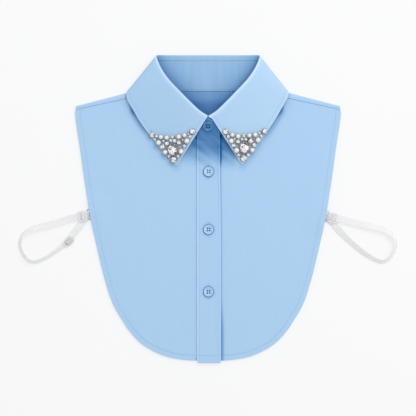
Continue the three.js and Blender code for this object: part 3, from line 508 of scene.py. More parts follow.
def front_height(x, y):
    across = x / (NECK_HALF_WIDTH + NECK_SWELL_MARGIN)
    down = (y - (BACK_NECK_RISE + NECK_FRONT_Y) / 2) / (NECK_SWELL_SHARE * NECK_DROP)
    height = back_height(x, y) + CLOTH_WALL + 2 * GAP
    height += NECK_SWELL * math.exp(-((across ** 2 + down ** 2) ** 2))
    for anchor in ANCHORS.values():
        away = math.hypot(x - anchor.x, y - anchor.y) / STRAP_SWELL_RADIUS
        height += STRAP_SWELL * math.exp(-(away ** 4))
    return height


def drift(x, y):
    """The slow rise and fall of cloth that has been smoothed flat by hand."""
    broad = noise.noise(Vector((x / 46, y / 95, 3.1)))
    narrow = noise.noise(Vector((x / 17, y / 60, 7.7)))
    return DRIFT_BROAD * broad + DRIFT_NARROW * narrow


def front_level(x, y):
    return front_height(x, y) + drift(x, y)


def free_edge(y):
    """Across to the placket's free edge, which leans in a little towards the collar."""
    lean = PLACKET_LEAN * smoothstep(y, LEAN_FROM_Y, LEAN_TO_Y)
    return PLACKET_LEFT + PLACKET_WIDTH - lean


def placket_level(x, y):
    """The placket's height, with its free edge a little up and soft folds below the button."""
    right = smoothstep(x, PLACKET_OFFSET, PLACKET_OFFSET + PLACKET_WIDTH / 2)
    lift = PLACKET_LIFT * right ** 3 * (bell(y + 52, 26) + 0.7 * bell(y + 262, 38))
    fade = smoothstep(-y, 34, 40) * (1 - smoothstep(-y, 52, 86))
    across_fold = 0.57 * x + 0.82 * y + 2.2 * noise.noise(Vector((x / 14, y / 14, 1.3)))
    depth = bpy.context.scene.bib_cloth.fold_depth / MM
    folds = depth * fade * math.sin(across_fold * 2 * math.pi / FOLD_PITCH)
    return front_level(x, y) + CLOTH_WALL + GAP + lift + folds


# Outlines of the panels

def shoulder_point(share, inset):
    tip = OUTLINE_ROWS[0][0] * HALF_WIDTH
    return Vector((mix(NECK_HALF_WIDTH, tip, share), SHOULDER_RISE * (1 - share) - inset, 0))


def seam_point(section, sign=1):
    return Vector((sign * section["seam_across"] * NECK_HALF_WIDTH,
                   BACK_NECK_RISE - section["seam_down"] * NECK_DROP, 0))


def outline_curves(inset, top_point):
    """The armhole from the shoulder to the hem's corner, and the hem from the middle to it."""
    rows = [Vector((across * (HALF_WIDTH - inset), -down * (BIB_LENGTH - inset), 0))
            for across, down in OUTLINE_ROWS]
    return [top_point, *rows[1:CORNER_ROW + 1]], rows[:CORNER_ROW - 1:-1]


def hemmed_line(armhole, hem):
    """The armhole from the shoulder down, and on along the hem to its middle."""
    down = sampled(catmull_rom(armhole), ARMHOLE_STEPS)
    return down + sampled(catmull_rom(hem), HEM_STEPS)[-2::-1]


def front_outline(side):
    """The front panel's outline and its hemmed stretch, both on the viewer's right."""
    under = PLACKET_LEFT + PANEL_UNDER_PLACKET
    inner = -under if side == "left" else under + 2 * GAP
    neck = [Vector((inner, NECK_FRONT_Y - NECK_GAP, 0))]
    for row in FRONT_SECTIONS[:-1]:
        point = seam_point(dict(zip(FRONT_KEYS, row))) - Vector((0, NECK_GAP, 0))
        if point.x > inner + CLOTH_WALL:
            neck.append(point)
    shoulder = shoulder_point(0, YOKE_AT_NECK)
    neck.append(Vector((shoulder.x - NECK_CORNER_MARGIN, shoulder.y, 0)))
    tip = shoulder_point(1, YOKE_AT_TIP)
    armhole, hem = outline_curves(0, tip)
    hem[0].x = inner
    hem = [p for i, p in enumerate(hem) if i == 0 or p.x > inner + HEM_CORNER_MARGIN]
    hemmed = hemmed_line(armhole, hem)
    rest = straight(hemmed[-1], neck[0], 150)[1:] + sampled(catmull_rom(neck), 60)[1:]
    return rest + straight(neck[-1], tip, 45)[1:-1] + hemmed, hemmed


def back_outline():
    tip = shoulder_point(1, BACK_SEAM_ALLOWANCE)
    tip.x -= BACK_INSET
    corner = shoulder_point(YOKE_START, BACK_SEAM_ALLOWANCE)
    seam = Vector((0.9 * NECK_HALF_WIDTH, BACK_NECK_RISE - NECK_GAP, 0))
    armhole, hem = outline_curves(BACK_INSET, tip)
    hemmed = hemmed_line(armhole, hem)
    top = straight(Vector((0, seam.y, 0)), seam, 30) + straight(seam, corner, 4)[1:]
    half = top + straight(corner, tip, 45)[1:] + hemmed[1:]
    mirrored = [Vector((-p.x, p.y, 0)) for p in reversed(half[1:-1])]
    left_hem = [Vector((-p.x, p.y, 0)) for p in reversed(hemmed[:-1])]
    return half + mirrored, hemmed + left_hem


# Meshes

def add_object(name, mesh):
    piece = bpy.data.objects.new(name, mesh)
    bpy.context.scene.collection.objects.link(piece)
    return piece


def finish_piece(piece, material, replaces=()):
    """The piece gets its material, rides on the bib and stands for the CAD nodes named."""
    if material:
        piece.data.materials.clear()
        piece.data.materials.append(material)
    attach(piece, BODY)
    if replaces:
        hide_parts(*replaces)
    return piece


def near_tree(points):
    """A search tree over a line's points, and the way along the line to each."""
    tree = kdtree.KDTree(len(points))
    for i, point in enumerate(points):
        tree.insert(Vector((point.x, point.y, 0)), i)
    tree.balance()
    return tree, run_lengths(points)


def thickened(points, step=0.5):
    """The line with points added, so that none is further than a step from the next."""
    line = [points[0]]
    for last, point in zip(points, points[1:]):
        count = max(1, math.ceil((point - last).length / step))
        line += [last.lerp(point, i / count) for i in range(1, count + 1)]
    return line


def rounded_half(depth, half):
    """Half the thickness at a depth inside an edge that is rounded."""
    rest = 1 - min(depth / half, 1)
    return half * math.sqrt(max(1 - rest * rest, 0))


def store(mesh, key, values, kind="FLOAT", domain="POINT"):
    """An attribute of the mesh, with a number or three for each of its points or faces."""
    data = mesh.attributes.new(key, kind, domain).data
    data.foreach_set("vector" if kind == "FLOAT_VECTOR" else "value", values)


def turn_outward(mesh):
    """The faces of a closed mesh are turned to face outward."""
    shell = bmesh.new()
    shell.from_mesh(mesh)
    bmesh.ops.recalc_face_normals(shell, faces=shell.faces)
    shell.to_mesh(mesh)
    shell.free()


def shell_object(name, shell):
    """A new object with the shell's mesh. The shell is freed."""
    mesh = bpy.data.meshes.new(name)
    shell.to_mesh(mesh)
    shell.free()
    return add_object(name, mesh)


def joined(last, ring):
    """The four-sided faces between two rings of corners."""
    count = len(ring)
    return [(last[j], last[(j + 1) % count], ring[(j + 1) % count], ring[j]) for j in range(count)]


def cloth_object(name, corners, faces):
    """A smooth closed cloth piece with its flat coordinates, in metres, as its UV map. Each
    corner is a point, its flat place and its marks. The marks are how far inside the nearest
    row of stitches it lies and how far along it, in millimetres, how deep the painted shade in
    that seam's groove is, and how deep the painted shade on it is."""
    points, flats, marks = zip(*corners)
    mesh = bpy.data.meshes.new(name)
    mesh.from_pydata([in_frame(p) for p in points], [], faces)
    for key, values in zip(("seam", "run", "pull", "shade"), zip(*marks)):
        store(mesh, key, values)
    layer = mesh.uv_layers.new(name="UVMap")
    for loop in mesh.loops:
        u, v = flats[loop.vertex_index]
        layer.data[loop.index].uv = (u * MM, v * MM)
    turn_outward(mesh)
    mesh.shade_smooth()
    return add_object(name, mesh)


def panel_cloth(name, outline, hemmed, seam, level, shade, pull, mirror=1, spacing=3.0, extra=()):
    """A flat-cut panel: rings of points inside its outline, a grid within them, and a closed
    wall that follows level, with every edge rounded. The painted shade and the depth of the
    painted shade in the seam's groove are read at x, y from the two functions given."""
    half = half_cloth()
    outline_tree, _ = near_tree(thickened(outline))
    hem_tree, hem_runs = near_tree(thickened(hemmed))
    area = sum(a.x * b.y - b.x * a.y for a, b in zip(outline, outline[1:] + outline[:1]))
    inward = 1 if area > 0 else -1
    points = [Vector((p.x, p.y)) for p in outline]
    rings = [0.12, half, 1.2, 2.2, *(seam + off for off in SEAM_RINGS)]
    rings = sorted(d for d in rings if d > 0.05)
    for depth in rings:
        for i, point in enumerate(outline):
            way = (outline[(i + 1) % len(outline)] - outline[i - 1]).normalized()
            inner = Vector((point.x - inward * way.y * depth, point.y + inward * way.x * depth, 0))
            if outline_tree.find(inner)[2] > 0.97 * depth:
                points.append(inner.to_2d())
    low = Vector((min(p.x for p in outline), min(p.y for p in outline)))
    high = Vector((max(p.x for p in outline), max(p.y for p in outline)))
    for i in range(int((high.x - low.x) / spacing)):
        for j in range(int((high.y - low.y) / spacing)):
            point = low + Vector((i + 0.5 * (j % 2), j)) * spacing
            if outline_tree.find(point.to_3d())[2] > rings[-1] + 0.4 * spacing:
                points.append(point)
    points += [p for p in extra if outline_tree.find(p.to_3d())[2] > rings[-1]]
    made = geometry.delaunay_2d_cdt(points, [], [list(range(len(outline)))], 1, 1e-3)
    plan, triangles, sources = made[0], made[2], made[3]
    corners, upper, lower = [], {}, {}
    for k in sorted({k for triangle in triangles for k in triangle}):
        x, y = plan[k]
        depth = outline_tree.find(Vector((x, y, 0)))[2]
        _, at, distance = hem_tree.find(Vector((x, y, 0)))
        on_edge = any(source < len(outline) for source in sources[k])
        wall = 0 if on_edge else rounded_half(depth, half)
        z = level(mirror * x, y)
        mark = (distance - seam, hem_runs[at], pull(mirror * x, y))
        upper[k] = lower[k] = len(corners)
        corners.append((Vector((mirror * x, y, z + wall)), (x, y), (*mark, shade(mirror * x, y))))
        if wall:
            lower[k] = len(corners)
            corners.append((Vector((mirror * x, y, z - wall)), (x, y), (*mark, 0)))
    faces = [tuple(upper[k] for k in triangle) for triangle in triangles]
    faces += [tuple(lower[k] for k in reversed(triangle)) for triangle in triangles]
    seen = set()
    faces = [f for f in faces if frozenset(f) not in seen and not seen.add(frozenset(f))]
    return cloth_object(name, corners, [f for f in faces if len(set(f)) == 3])


def grid_cloth(name, grid, flat, mark, thinner=lambda j: 1):
    """A closed wall round a grid of middle points, whose two faces meet along its edges. flat
    and mark are read by row and column, and thinner, a share of the wall, by column."""
    rows, columns = len(grid), len(grid[0])
    half = half_cloth()
    corners, upper, lower = [], {}, {}
    for i in range(rows):
        for j in range(columns):
            along = grid[min(i + 1, rows - 1)][j] - grid[max(i - 1, 0)][j]
            across = grid[i][min(j + 1, columns - 1)] - grid[i][max(j - 1, 0)]
            normal = along.cross(across).normalized()
            from_edge = min(i, rows - 1 - i, j, columns - 1 - j, len(WALL_BY_EDGE) - 1)
            wall = half * thinner(j) * WALL_BY_EDGE[from_edge]
            upper[i, j] = lower[i, j] = len(corners)
            corners.append((grid[i][j] + normal * wall, flat(i, j), mark(i, j)))
            if wall:
                lower[i, j] = len(corners)
                corners.append((grid[i][j] - normal * wall, flat(i, j), mark(i, j)))
    faces = []
    for i in range(rows - 1):
        for j in range(columns - 1):
            ring = ((i, j), (i + 1, j), (i + 1, j + 1), (i, j + 1))
            faces.append(tuple(upper[k] for k in ring))
            faces.append(tuple(lower[k] for k in reversed(ring)))
    return cloth_object(name, corners, faces)


def graded(length, near, step):
    """Places from 0 to 1 along a length: the near ones at both ends, and steps between."""
    ends = [min(d / length, 0.45) for d in near]
    inner = max(2, math.ceil((1 - 2 * ends[-1]) * length / step))
    middle = [mix(ends[-1], 1 - ends[-1], i / inner) for i in range(1, inner)]
    return ends + middle + [1 - e for e in reversed(ends)]


# Collar sections

def fold_point(row, sign):
    return Vector((
        sign * row["fold_across"] * FOLD_HALF_WIDTH,
        COLLAR_TOP_Y - row["fold_down"] * (COLLAR_TOP_Y - V_POINT_Y),
        row["fold_up"] * FOLD_HEIGHT,
    ))


def front_section(row, side):
    sign = SIGNS[side]
    row = dict(zip(FRONT_KEYS, row))
    lap = LAP_STEP * row["lap"]
    own_lap = lap if side == "left" else 0
    seam = seam_point(row, sign)
    seam.z = front_height(seam.x, seam.y) + own_lap
    fold = fold_point(row, sign)
    fold.z += own_lap
    tip = Vector((TIPS[side][0], -TIPS[side][1]))
    turn = Vector((LEAF_TURN_HALF_WIDTH - TURN_INSETS[side], LEAF_TURN_RISE))
    way = tip - turn
    out = Vector((-way.y, way.x)).normalized()
    edge = turn + way * row["along"] + out * row["bow"] * LEAF_EDGE_BOWS[side]
    level = front_height(sign * edge.x, edge.y) + CLOTH_WALL / 2
    height = level + GAP + LEAF_WALL / 2 + row["lift"] * LEAF_LIFT
    return {"fold": fold, "seam": seam, "edge": Vector((sign * edge.x, edge.y, height)),
            "fall": row["fall"], "lip": row["lip"] * LEAF_LIP, "over": 0 if side == "left" else lap}


def back_section(row, side):
    sign = SIGNS[side]
    row = dict(zip(BACK_KEYS, row))
    seam = seam_point(row, sign)
    seam.z = mix(back_height(seam.x, seam.y), front_height(seam.x, seam.y), row["front"])
    edge = Vector((
        sign * row["edge_across"] * (LEAF_TURN_HALF_WIDTH - TURN_INSETS[side]),
        LEAF_TURN_RISE - row["edge_down"] * LEAF_BACK_DROP,
        row["edge_up"] * FOLD_HEIGHT,
    ))
    return {"fold": fold_point(row, sign), "seam": seam, "edge": edge, "fall": row["fall"],
            "lip": LEAF_LIP, "over": 0}


def collar_rows():
    left = [front_section(row, "left") for row in FRONT_SECTIONS]
    left += [back_section(row, "left") for row in BACK_SECTIONS]
    right = [back_section(row, "right") for row in reversed(BACK_SECTIONS[:-1])]
    return left + right + [front_section(row, "right") for row in reversed(FRONT_SECTIONS)]


def collar_sections(places):
    """Sections of the collar at places counted in rows from the left V point to the right."""
    rows = collar_rows()
    count = LAST_PLACE
    curves = {key: catmull_rom([row[key] for row in rows]) for key in ("fold", "seam", "edge")}
    sections = []
    for place in places:
        before = rows[min(int(place), count)]
        after = rows[min(int(place) + 1, count)]
        section = {key: curve(place / count) for key, curve in curves.items()}
        section["edge"].z = max(section["edge"].z, LEAF_WALL / 2)
        for key in ("fall", "lip", "over"):
            section[key] = mix(before[key], after[key], place - int(place))
        ahead = curves["fold"]((place + 0.25) / count) - curves["fold"]((place - 0.25) / count)
        section["down"] = (section["seam"] - section["fold"]).normalized()
        section["outward"] = ahead.cross(section["down"]).normalized()
        section["top"] = section["fold"] + section["down"] * FOLD_REACH
        section["place"] = place
        sections.append(section)
    return sections


def section_places():
    """Places along the collar, close together at both front edges."""
    first = [0, 0.012, 0.04] + [i / FRONT_STEPS for i in range(2, FRONT_STEPS)]
    middle = [1 + i / COLLAR_STEPS for i in range((LAST_PLACE - 2) * COLLAR_STEPS + 1)]
    return first + middle + [LAST_PLACE - place for place in reversed(first)]


# Shade, as it lies in the photographed cloth

def plan_line(key, side):
    """The fold or the outer edge of the front of the collar, seen from above."""
    rows = [front_section(row, side)[key] for row in FRONT_SECTIONS]
    rows.append(back_section(BACK_SECTIONS[0], side)[key])
    return [Vector((p.x, p.y, 0)) for p in sampled(catmull_rom(rows), 240)]


FOLD_TREE = near_tree(plan_line("fold", "left") + plan_line("fold", "right"))[0]
EDGE_TREE = near_tree(plan_line("edge", "left") + plan_line("edge", "right"))[0]


def neck_shade(x, y, base):
    near = FOLD_TREE.find(Vector((x, y, 0)))[2]
    streak = noise.noise(Vector((x / 4.4, y / 55, 2.2))) * NECK_STREAKS
    return base + streak + FOLD_SHADE * math.exp(-near / FOLD_SHADE_REACH)


def under_collar(x, y):
    # Painted shade under the collar, fading downwards and to the sides, broken by soft folds
    down = min(max((-y - SHADE_SLANT * x - SHADE_TOP) / SHADE_RUN, 0), 1)
    inside = 1 - smoothstep(abs(x), SHADE_HALF_WIDTH, SHADE_HALF_WIDTH + SHADE_SIDE_RUN)
    folds = noise.noise(Vector(((x * 0.75 - y * 0.66) / 22, (y * 0.75 + x * 0.66) / 4.6, 4.4)))
    return (1 - down) ** SHADE_FALL * inside * (0.98 + 0.42 * folds)


def stand_fold(x, y):
    """The rumpled top edge of the stand's under end, as a painted highlight with a painted dark line
    of shade over it.
    """
    along = min(max(x, -1), 5.5)
    down = y + 12.9 + 0.64 * (along + 0.9) + 0.06 * (5.5 - along) * (along + 1)
    return bell(x - along, 1) * (0.75 * bell(down - 1.5, 0.6) - 0.4 * bell(down, 0.6))


def beside_leaf(x, y):
    """The soft shade under the leaf's outer edge, with a darker core by the edge itself."""
    near = EDGE_TREE.find(Vector((x, y, 0)))[2]
    soft = LEAF_SHADE * smoothstep(-y, 0, 9) * mix(0.35, 1, smoothstep(y, -42, -24))
    core = (LEAF_CORE + x / 700) * bell(y + 5, 4.5)
    line = LEAF_LINE * smoothstep(y, -6, 0)
    spread = math.exp(-((near / LEAF_SHADE_REACH) ** 3))
    return soft * spread + core * bell(near, LEAF_CORE_REACH) + line * bell(near, LEAF_LINE_REACH)


def beside_placket(x, y):
    """Painted shade: the dark gap along the placket's free edge and the dark line along its sewn one.
    """
    lifted = 1 - smoothstep(-y, 56, 72)
    loose = smoothstep(-y, 215, 262)
    gap, reach = (rest + by_lift * lifted + by_slack * loose
                  for rest, by_lift, by_slack in (GAP_SHADES, GAP_REACHES))
    sewn = SEWN_SHADES[0] + SEWN_SHADES[1] * lifted
    gap *= bell(x - free_edge(y) - 0.2, reach)
    return gap + sewn * bell(x - PLACKET_LEFT + 0.6, SEWN_REACH)


def beside_buttons(x, y):
    """Painted shade in a dark line round each button, and the faint darker buttonhole under it."""
    depth = 0
    for down in BUTTON_DOWNS.values():
        across, along = x - PLACKET_OFFSET / 2, y + down * BIB_LENGTH
        reach = math.hypot(across, along)
        if reach < 2 * BUTTON_RADIUS:
            depth += BUTTON_SHADE * bell(reach - BUTTON_EASE * BUTTON_RADIUS - 0.2, 0.4)
            ends = smoothstep(BUTTONHOLE_REACH - abs(along), 0, 1.5)
            depth += BUTTONHOLE_SHADE * bell(across, 1.1) * ends
    return depth


def placket_shade(x, y):
    # Painted shade under the collar and round the buttons, with a painted highlight along the ridges
    # of the sewn and the free edge
    ridge = bell(x - PLACKET_LEFT - 0.7, 0.8) + 0.35 * bell(x - free_edge(y) + 0.6, 0.6)
    return under_collar(x, y) * (1 - 0.25 * ridge) + beside_buttons(x, y) - RIDGE_LIGHT * ridge


def front_shade(x, y):
    shade = max(under_collar(x, y), beside_leaf(x, y)) + beside_placket(x, y)
    return min(shade, DEEPEST_SHADE)


def back_shade(x, y):
    across, along = NECK_SHADE_REACH
    inside = 1 - smoothstep(math.hypot(x / across, (y + 6) / along), 0.8, 1)
    return inside * neck_shade(x, y, NECK_SHADE + NECK_SHADE_RISE * smoothstep(-y, -12, 2))


# How deep the painted shade in the hem's seam groove and on its stitches is, deeper towards the
# bottom
def hem_seam_shade(x, y):
    return mix(0.4, 1, smoothstep(-y, 215, 280))


# Shader groups and materials

def add_node(tree, kind, values=None, **settings):
    node = tree.nodes.new(kind)
    for name, value in settings.items():
        setattr(node, name, value)
    for name, value in (values or {}).items():
        if isinstance(value, bpy.types.NodeSocket):
            tree.links.new(value, node.inputs[name])
        else:
            node.inputs[name].default_value = value
    return node


def maths(tree, operation, first, second=0.0):
    node = add_node(tree, "ShaderNodeMath", {0: first, 1: second}, operation=operation)
    return node.outputs[0]


def bell_node(tree, value, width):
    squared = maths(tree, "POWER", maths(tree, "DIVIDE", value, width), 2.0)
    return maths(tree, "EXPONENT", maths(tree, "MULTIPLY", squared, -1.0))


def shader_group(name, inputs, outputs):
    """A new shader group with named number or vector sockets, and its two ends."""
    tree = bpy.data.node_groups.new(name, "ShaderNodeTree")
    for key, value in inputs.items():
        kind = "NodeSocketVector" if value is None else "NodeSocketFloat"
        socket = tree.interface.new_socket(key, in_out="INPUT", socket_type=kind)
        if value is not None:
            socket.default_value = value
    for key in outputs:
        kind = "NodeSocketColor" if key == "Tint" else "NodeSocketFloat"
        tree.interface.new_socket(key, in_out="OUTPUT", socket_type=kind)
    return tree, tree.nodes.new("NodeGroupInput").outputs, tree.nodes.new("NodeGroupOutput")


def weave_group():
    """Plain weave: warp and weft threads as a height, and slubs as a slow shade."""
    tree, given, end = shader_group(
        "plain_weave", {"Flat": None, "Pitch": 0.0004}, ("Height", "Shade"))
    flat = add_node(tree, "ShaderNodeSeparateXYZ", {"Vector": given["Flat"]})
    waves = []
    for axis in ("X", "Y"):
        turns = maths(tree, "DIVIDE", flat.outputs[axis], given["Pitch"])
        waves.append(maths(tree, "SINE", maths(tree, "MULTIPLY", turns, math.pi)))
    tree.links.new(maths(tree, "MULTIPLY", *waves), end.inputs["Height"])
    stretched = add_node(
        tree, "ShaderNodeMapping", {"Vector": given["Flat"], "Scale": (520, 26, 1)})
    slubs = add_node(tree, "ShaderNodeTexNoise", {
        "Vector": stretched.outputs[0], "Scale": 1.0, "Detail": 3.0, "Roughness": 0.6})
    tree.links.new(slubs.outputs["Fac"], end.inputs["Shade"])
    return tree


def seam_group():
    """A row of stitches pulled into the cloth: a groove and puckers along it."""
    tree, given, end = shader_group(
        "seam_pull", {"Seam": 0.0, "Run": 0.0, "Depth": 0.1}, ("Height", "Shade"))
    groove = bell_node(tree, given["Seam"], 0.5)
    spread = bell_node(tree, given["Seam"], 2.6)
    place = add_node(tree, "ShaderNodeCombineXYZ", {"X": given["Run"], "Y": given["Seam"]})
    ripple = add_node(
        tree, "ShaderNodeTexNoise", {"Vector": place.outputs[0], "Scale": 0.3, "Detail": 1.0})
    waves = maths(tree, "SUBTRACT", ripple.outputs["Fac"], 0.5)
    puckers = maths(tree, "MULTIPLY", maths(tree, "MULTIPLY", waves, spread), 2.6)
    height = maths(tree, "SUBTRACT", puckers, groove)
    tree.links.new(maths(tree, "MULTIPLY", height, given["Depth"]), end.inputs["Height"])
    # The groove is also given out as the mask of its painted shade
    tree.links.new(groove, end.inputs["Shade"])
    return tree


def smudge_group():
    """Small uneven patches, for gloss that isn't the same all over."""
    tree, given, end = shader_group(
        "smudge", {"Place": None, "Scale": 200.0, "Low": 0.2, "High": 0.4}, ("Value",))
    patches = add_node(tree, "ShaderNodeTexNoise", {
        "Vector": given["Place"], "Scale": given["Scale"], "Detail": 2.0})
    spread = add_node(tree, "ShaderNodeMapRange", {
        "Value": patches.outputs["Fac"], "To Min": given["Low"], "To Max": given["High"]})
    tree.links.new(spread.outputs[0], end.inputs["Value"])
    return tree


def shade_group():
    """The tint of light that reached a shaded place by way of the cloth."""
    tree, given, end = shader_group("shade_tint", {"Shade": 0.0}, ("Tint",))
    tint = tree.nodes.new("ShaderNodeCombineColor")
    beyond = maths(tree, "MAXIMUM", maths(tree, "SUBTRACT", given["Shade"], DEEP_FROM), 0.0)
    soft = maths(tree, "MINIMUM", given["Shade"], DEEP_FROM)
    for i, (channel, deep) in enumerate(zip(SHADE_TINT, DEEP_TINT)):
        near, far = maths(tree, "POWER", channel, soft), maths(tree, "POWER", deep, beyond)
        tree.links.new(maths(tree, "MULTIPLY", near, far), tint.inputs[i])
    tree.links.new(tint.outputs[0], end.inputs["Tint"])
    return tree


def group_node(tree, name, maker, values):
    """The outputs of a shared group with its values. The group is made at its first use."""
    group = bpy.data.node_groups.get(name) or maker()
    return add_node(tree, "ShaderNodeGroup", values, node_tree=group).outputs


def new_material(name, **values):
    """A material with a Principled BSDF whose constants are set on its own sockets."""
    material = bpy.data.materials.new(name)
    material.use_nodes = True
    shader = material.node_tree.nodes["Principled BSDF"]
    for key, value in values.items():
        shader.inputs[key.replace("_", " ")].default_value = value
    return material, material.node_tree, shader


def blended(tree, factor, first, second, blend="MIX"):
    node = add_node(tree, "ShaderNodeMix", {0: factor, 6: first, 7: second},
                    data_type="RGBA", blend_type=blend)
    return node.outputs[2]


def tone(color, factor):
    return (*(min(channel * factor, 1) for channel in color), 1)


def attribute(tree, name):
    return add_node(tree, "ShaderNodeAttribute", attribute_name=name).outputs["Fac"]


def object_place(tree):
    return add_node(tree, "ShaderNodeTexCoord").outputs["Object"]


def mottle(tree, scale, detail=2.0):
    """Soft noise that stays with the piece."""
    values = {"Vector": object_place(tree), "Scale": scale, "Detail": detail}
    return add_node(tree, "ShaderNodeTexNoise", values).outputs["Fac"]


def facing(tree):
    """0 where the surface faces the eye, up to 1 at its rim."""
    return add_node(tree, "ShaderNodeLayerWeight", {"Blend": 0.5}).outputs["Facing"]


def color_ramp(tree, factor, rows):
    """The colour at the factor's place among rows of a position and a colour."""
    ramp = add_node(tree, "ShaderNodeValToRGB", {"Fac": factor})
    stops = ramp.color_ramp.elements
    for k, row in ((0, rows[0]), (1, rows[-1])):
        stops[k].position, stops[k].color = row[0], (*row[1], 1)
    for position, color in rows[1:-1]:
        stops.new(position).color = (*color, 1)
    return ramp.outputs["Color"]


def woven(tree, pitch):
    """The shared weave, laid on the piece's flat coordinates."""
    flat = add_node(tree, "ShaderNodeUVMap", uv_map="UVMap")
    return group_node(tree, "plain_weave", weave_group, {"Flat": flat.outputs[0], "Pitch": pitch})


def shaded(tree, color):
    """The colour times the tint of the shade that lies on it."""
    tint = group_node(tree, "shade_tint", shade_group, {"Shade": attribute(tree, "shade")})
    return blended(tree, 1.0, color, tint["Tint"], "MULTIPLY")


def bump(tree, shader, height, distance):
    node = add_node(
        tree, "ShaderNodeBump", {"Height": height, "Strength": 1.0, "Distance": distance})
    tree.links.new(node.outputs[0], shader.inputs["Normal"])


def cloth_material():
    name = "woven_cotton"
    if name in bpy.data.materials:
        return bpy.data.materials[name]
    cloth = bpy.context.scene.bib_cloth
    material, tree, shader = new_material(
        name, Roughness=0.82, Specular_IOR_Level=0.22, Sheen_Weight=0.12, Sheen_Roughness=0.45)
    weave = woven(tree, cloth.thread_pitch)
    pull = group_node(tree, "seam_pull", seam_group, {
        "Seam": attribute(tree, "seam"), "Run": attribute(tree, "run"), "Depth": 0.03})
    base_tone = blended(tree, weave["Shade"], tone(cloth.color, 0.97), tone(cloth.color, 1.03))
    # Painted shade in each seam's groove, scaled by the piece's attribute for it
    painted_groove_shade = maths(tree, "MULTIPLY", pull["Shade"], attribute(tree, "pull"))
    base_tone = blended(tree, maths(tree, "MULTIPLY", painted_groove_shade, 0.06), base_tone, tone(cloth.color, 0.7))
    tree.links.new(shaded(tree, base_tone), shader.inputs["Base Color"])
    threads = maths(tree, "MULTIPLY", weave["Height"], 0.02)
    bump(tree, shader, maths(tree, "ADD", threads, pull["Height"]), MM)
    return material


def thread_material():
    name = "sewing_thread"
    if name in bpy.data.materials:
        return bpy.data.materials[name]
    material, tree, shader = new_material(
        name, Roughness=0.6, Specular_IOR_Level=0.3, Sheen_Weight=0.1)
    color = bpy.context.scene.bib_cloth.color
    base_tone = blended(tree, mottle(tree, 900.0), tone(color, 0.9), tone(color, 1.1))
    tree.links.new(shaded(tree, base_tone), shader.inputs["Base Color"])
    return material


def glossy_material(name, color, rough, scale, metallic=0.0, coat=0.0, contrast=0.1, painted_shade=False):
    """Plastic, pearl or metal with uneven gloss and a slight mottle. When asked, its colour is
    darkened by the painted shade held in the piece's shade attribute.
    """
    if name in bpy.data.materials:
        return bpy.data.materials[name]
    material, tree, shader = new_material(
        name, Metallic=metallic, Coat_Weight=coat, Coat_Roughness=0.08)
    smudge = group_node(tree, "smudge", smudge_group, {
        "Place": object_place(tree), "Scale": scale, "Low": rough * 0.7, "High": rough * 1.3})
    tree.links.new(smudge["Value"], shader.inputs["Roughness"])
    dark, light = tone(color, 1 - contrast), tone(color, 1 + contrast)
    base_tone = blended(tree, mottle(tree, scale / 3), dark, light)
    # Painted shade from the piece's shade attribute, where it is asked for
    tree.links.new(shaded(tree, base_tone) if painted_shade else base_tone, shader.inputs["Base Color"])
    return material


def pearl_material():
    name = "glazed_pearl"
    if name in bpy.data.materials:
        return bpy.data.materials[name]
    color = bpy.context.scene.bib_trim.pearl_color
    material = glossy_material(name, color, 0.2, 260, coat=1.0, contrast=0.05)
    tree = material.node_tree
    shader = tree.nodes["Principled BSDF"]
    base = shader.inputs["Base Color"].links[0].from_socket
    # Painted sheen and shade: white where the pearl faces the eye, falling to a dark brown rim
    painted_sheen_and_rim_shade = color_ramp(tree, facing(tree), (
        (0.0, (1, 1, 1)), (0.12, (0.98, 0.98, 0.98)), (0.4, (0.66, 0.63, 0.59)),
        (0.9, (0.2, 0.16, 0.13))))
    tree.links.new(blended(tree, 1.0, base, painted_sheen_and_rim_shade, "MULTIPLY"), shader.inputs["Base Color"])
    return material


def crystal_material(name, dark, light):
    """Foil-backed stone with painted reflections: each facet has its own painted glint tone, broken
    up by painted patches that stand in for what it reflects.
    """
    if name in bpy.data.materials:
        return bpy.data.materials[name]
    material, tree, shader = new_material(
        name, Roughness=0.12, Coat_Weight=0.6, Coat_Roughness=0.03, IOR=1.6)
    depth = add_node(
        tree, "ShaderNodeTexVoronoi", {"Vector": object_place(tree), "Scale": 900.0})
    glint_breakup = maths(tree, "MULTIPLY", maths(tree, "SUBTRACT", depth.outputs["Distance"], 0.4), 0.3)
    glint_patches = maths(tree, "SUBTRACT", mottle(tree, 230.0, 1.0), 0.5)
    # Painted glints: each facet's tone, broken up by painted patches, picks its colour from dark to
    # light
    total = maths(tree, "ADD", attribute(tree, "facet"), glint_breakup)
    total = maths(tree, "ADD", total, maths(tree, "MULTIPLY", glint_patches, 0.7))
    stops = [(position, [mix(a, b, share) for a, b in zip(dark, light)])
             for position, share in ((0.05, 0), (0.4, 0.25), (0.6, 0.8), (0.8, 1))]
    cut = color_ramp(tree, maths(tree, "SUBTRACT", total, 0.08), stops)
    tree.links.new(cut, shader.inputs["Base Color"])
    return material


def elastic_material():
    name = "woven_elastic"
    if name in bpy.data.materials:
        return bpy.data.materials[name]
    color = bpy.context.scene.bib_trim.elastic_color
    material, tree, shader = new_material(
        name, Roughness=0.8, Specular_IOR_Level=0.15, Sheen_Weight=0.15,
        Subsurface_Weight=0.7, Subsurface_Scale=0.004, Subsurface_Radius=(1, 1, 1))
    weave = woven(tree, 0.0007)
    base_tone = blended(tree, weave["Shade"], tone(color, 0.93), tone(color, 1.05))
    # Painted sheen: the tape is painted lighter, towards white, where it turns away from the eye
    painted_rim_sheen = maths(tree, "MULTIPLY", facing(tree), 0.6)
    tree.links.new(blended(tree, painted_rim_sheen, base_tone, (1, 1, 1, 1)), shader.inputs["Base Color"])
    bump(tree, shader, maths(tree, "MULTIPLY", weave["Height"], 0.06), MM)
    return material


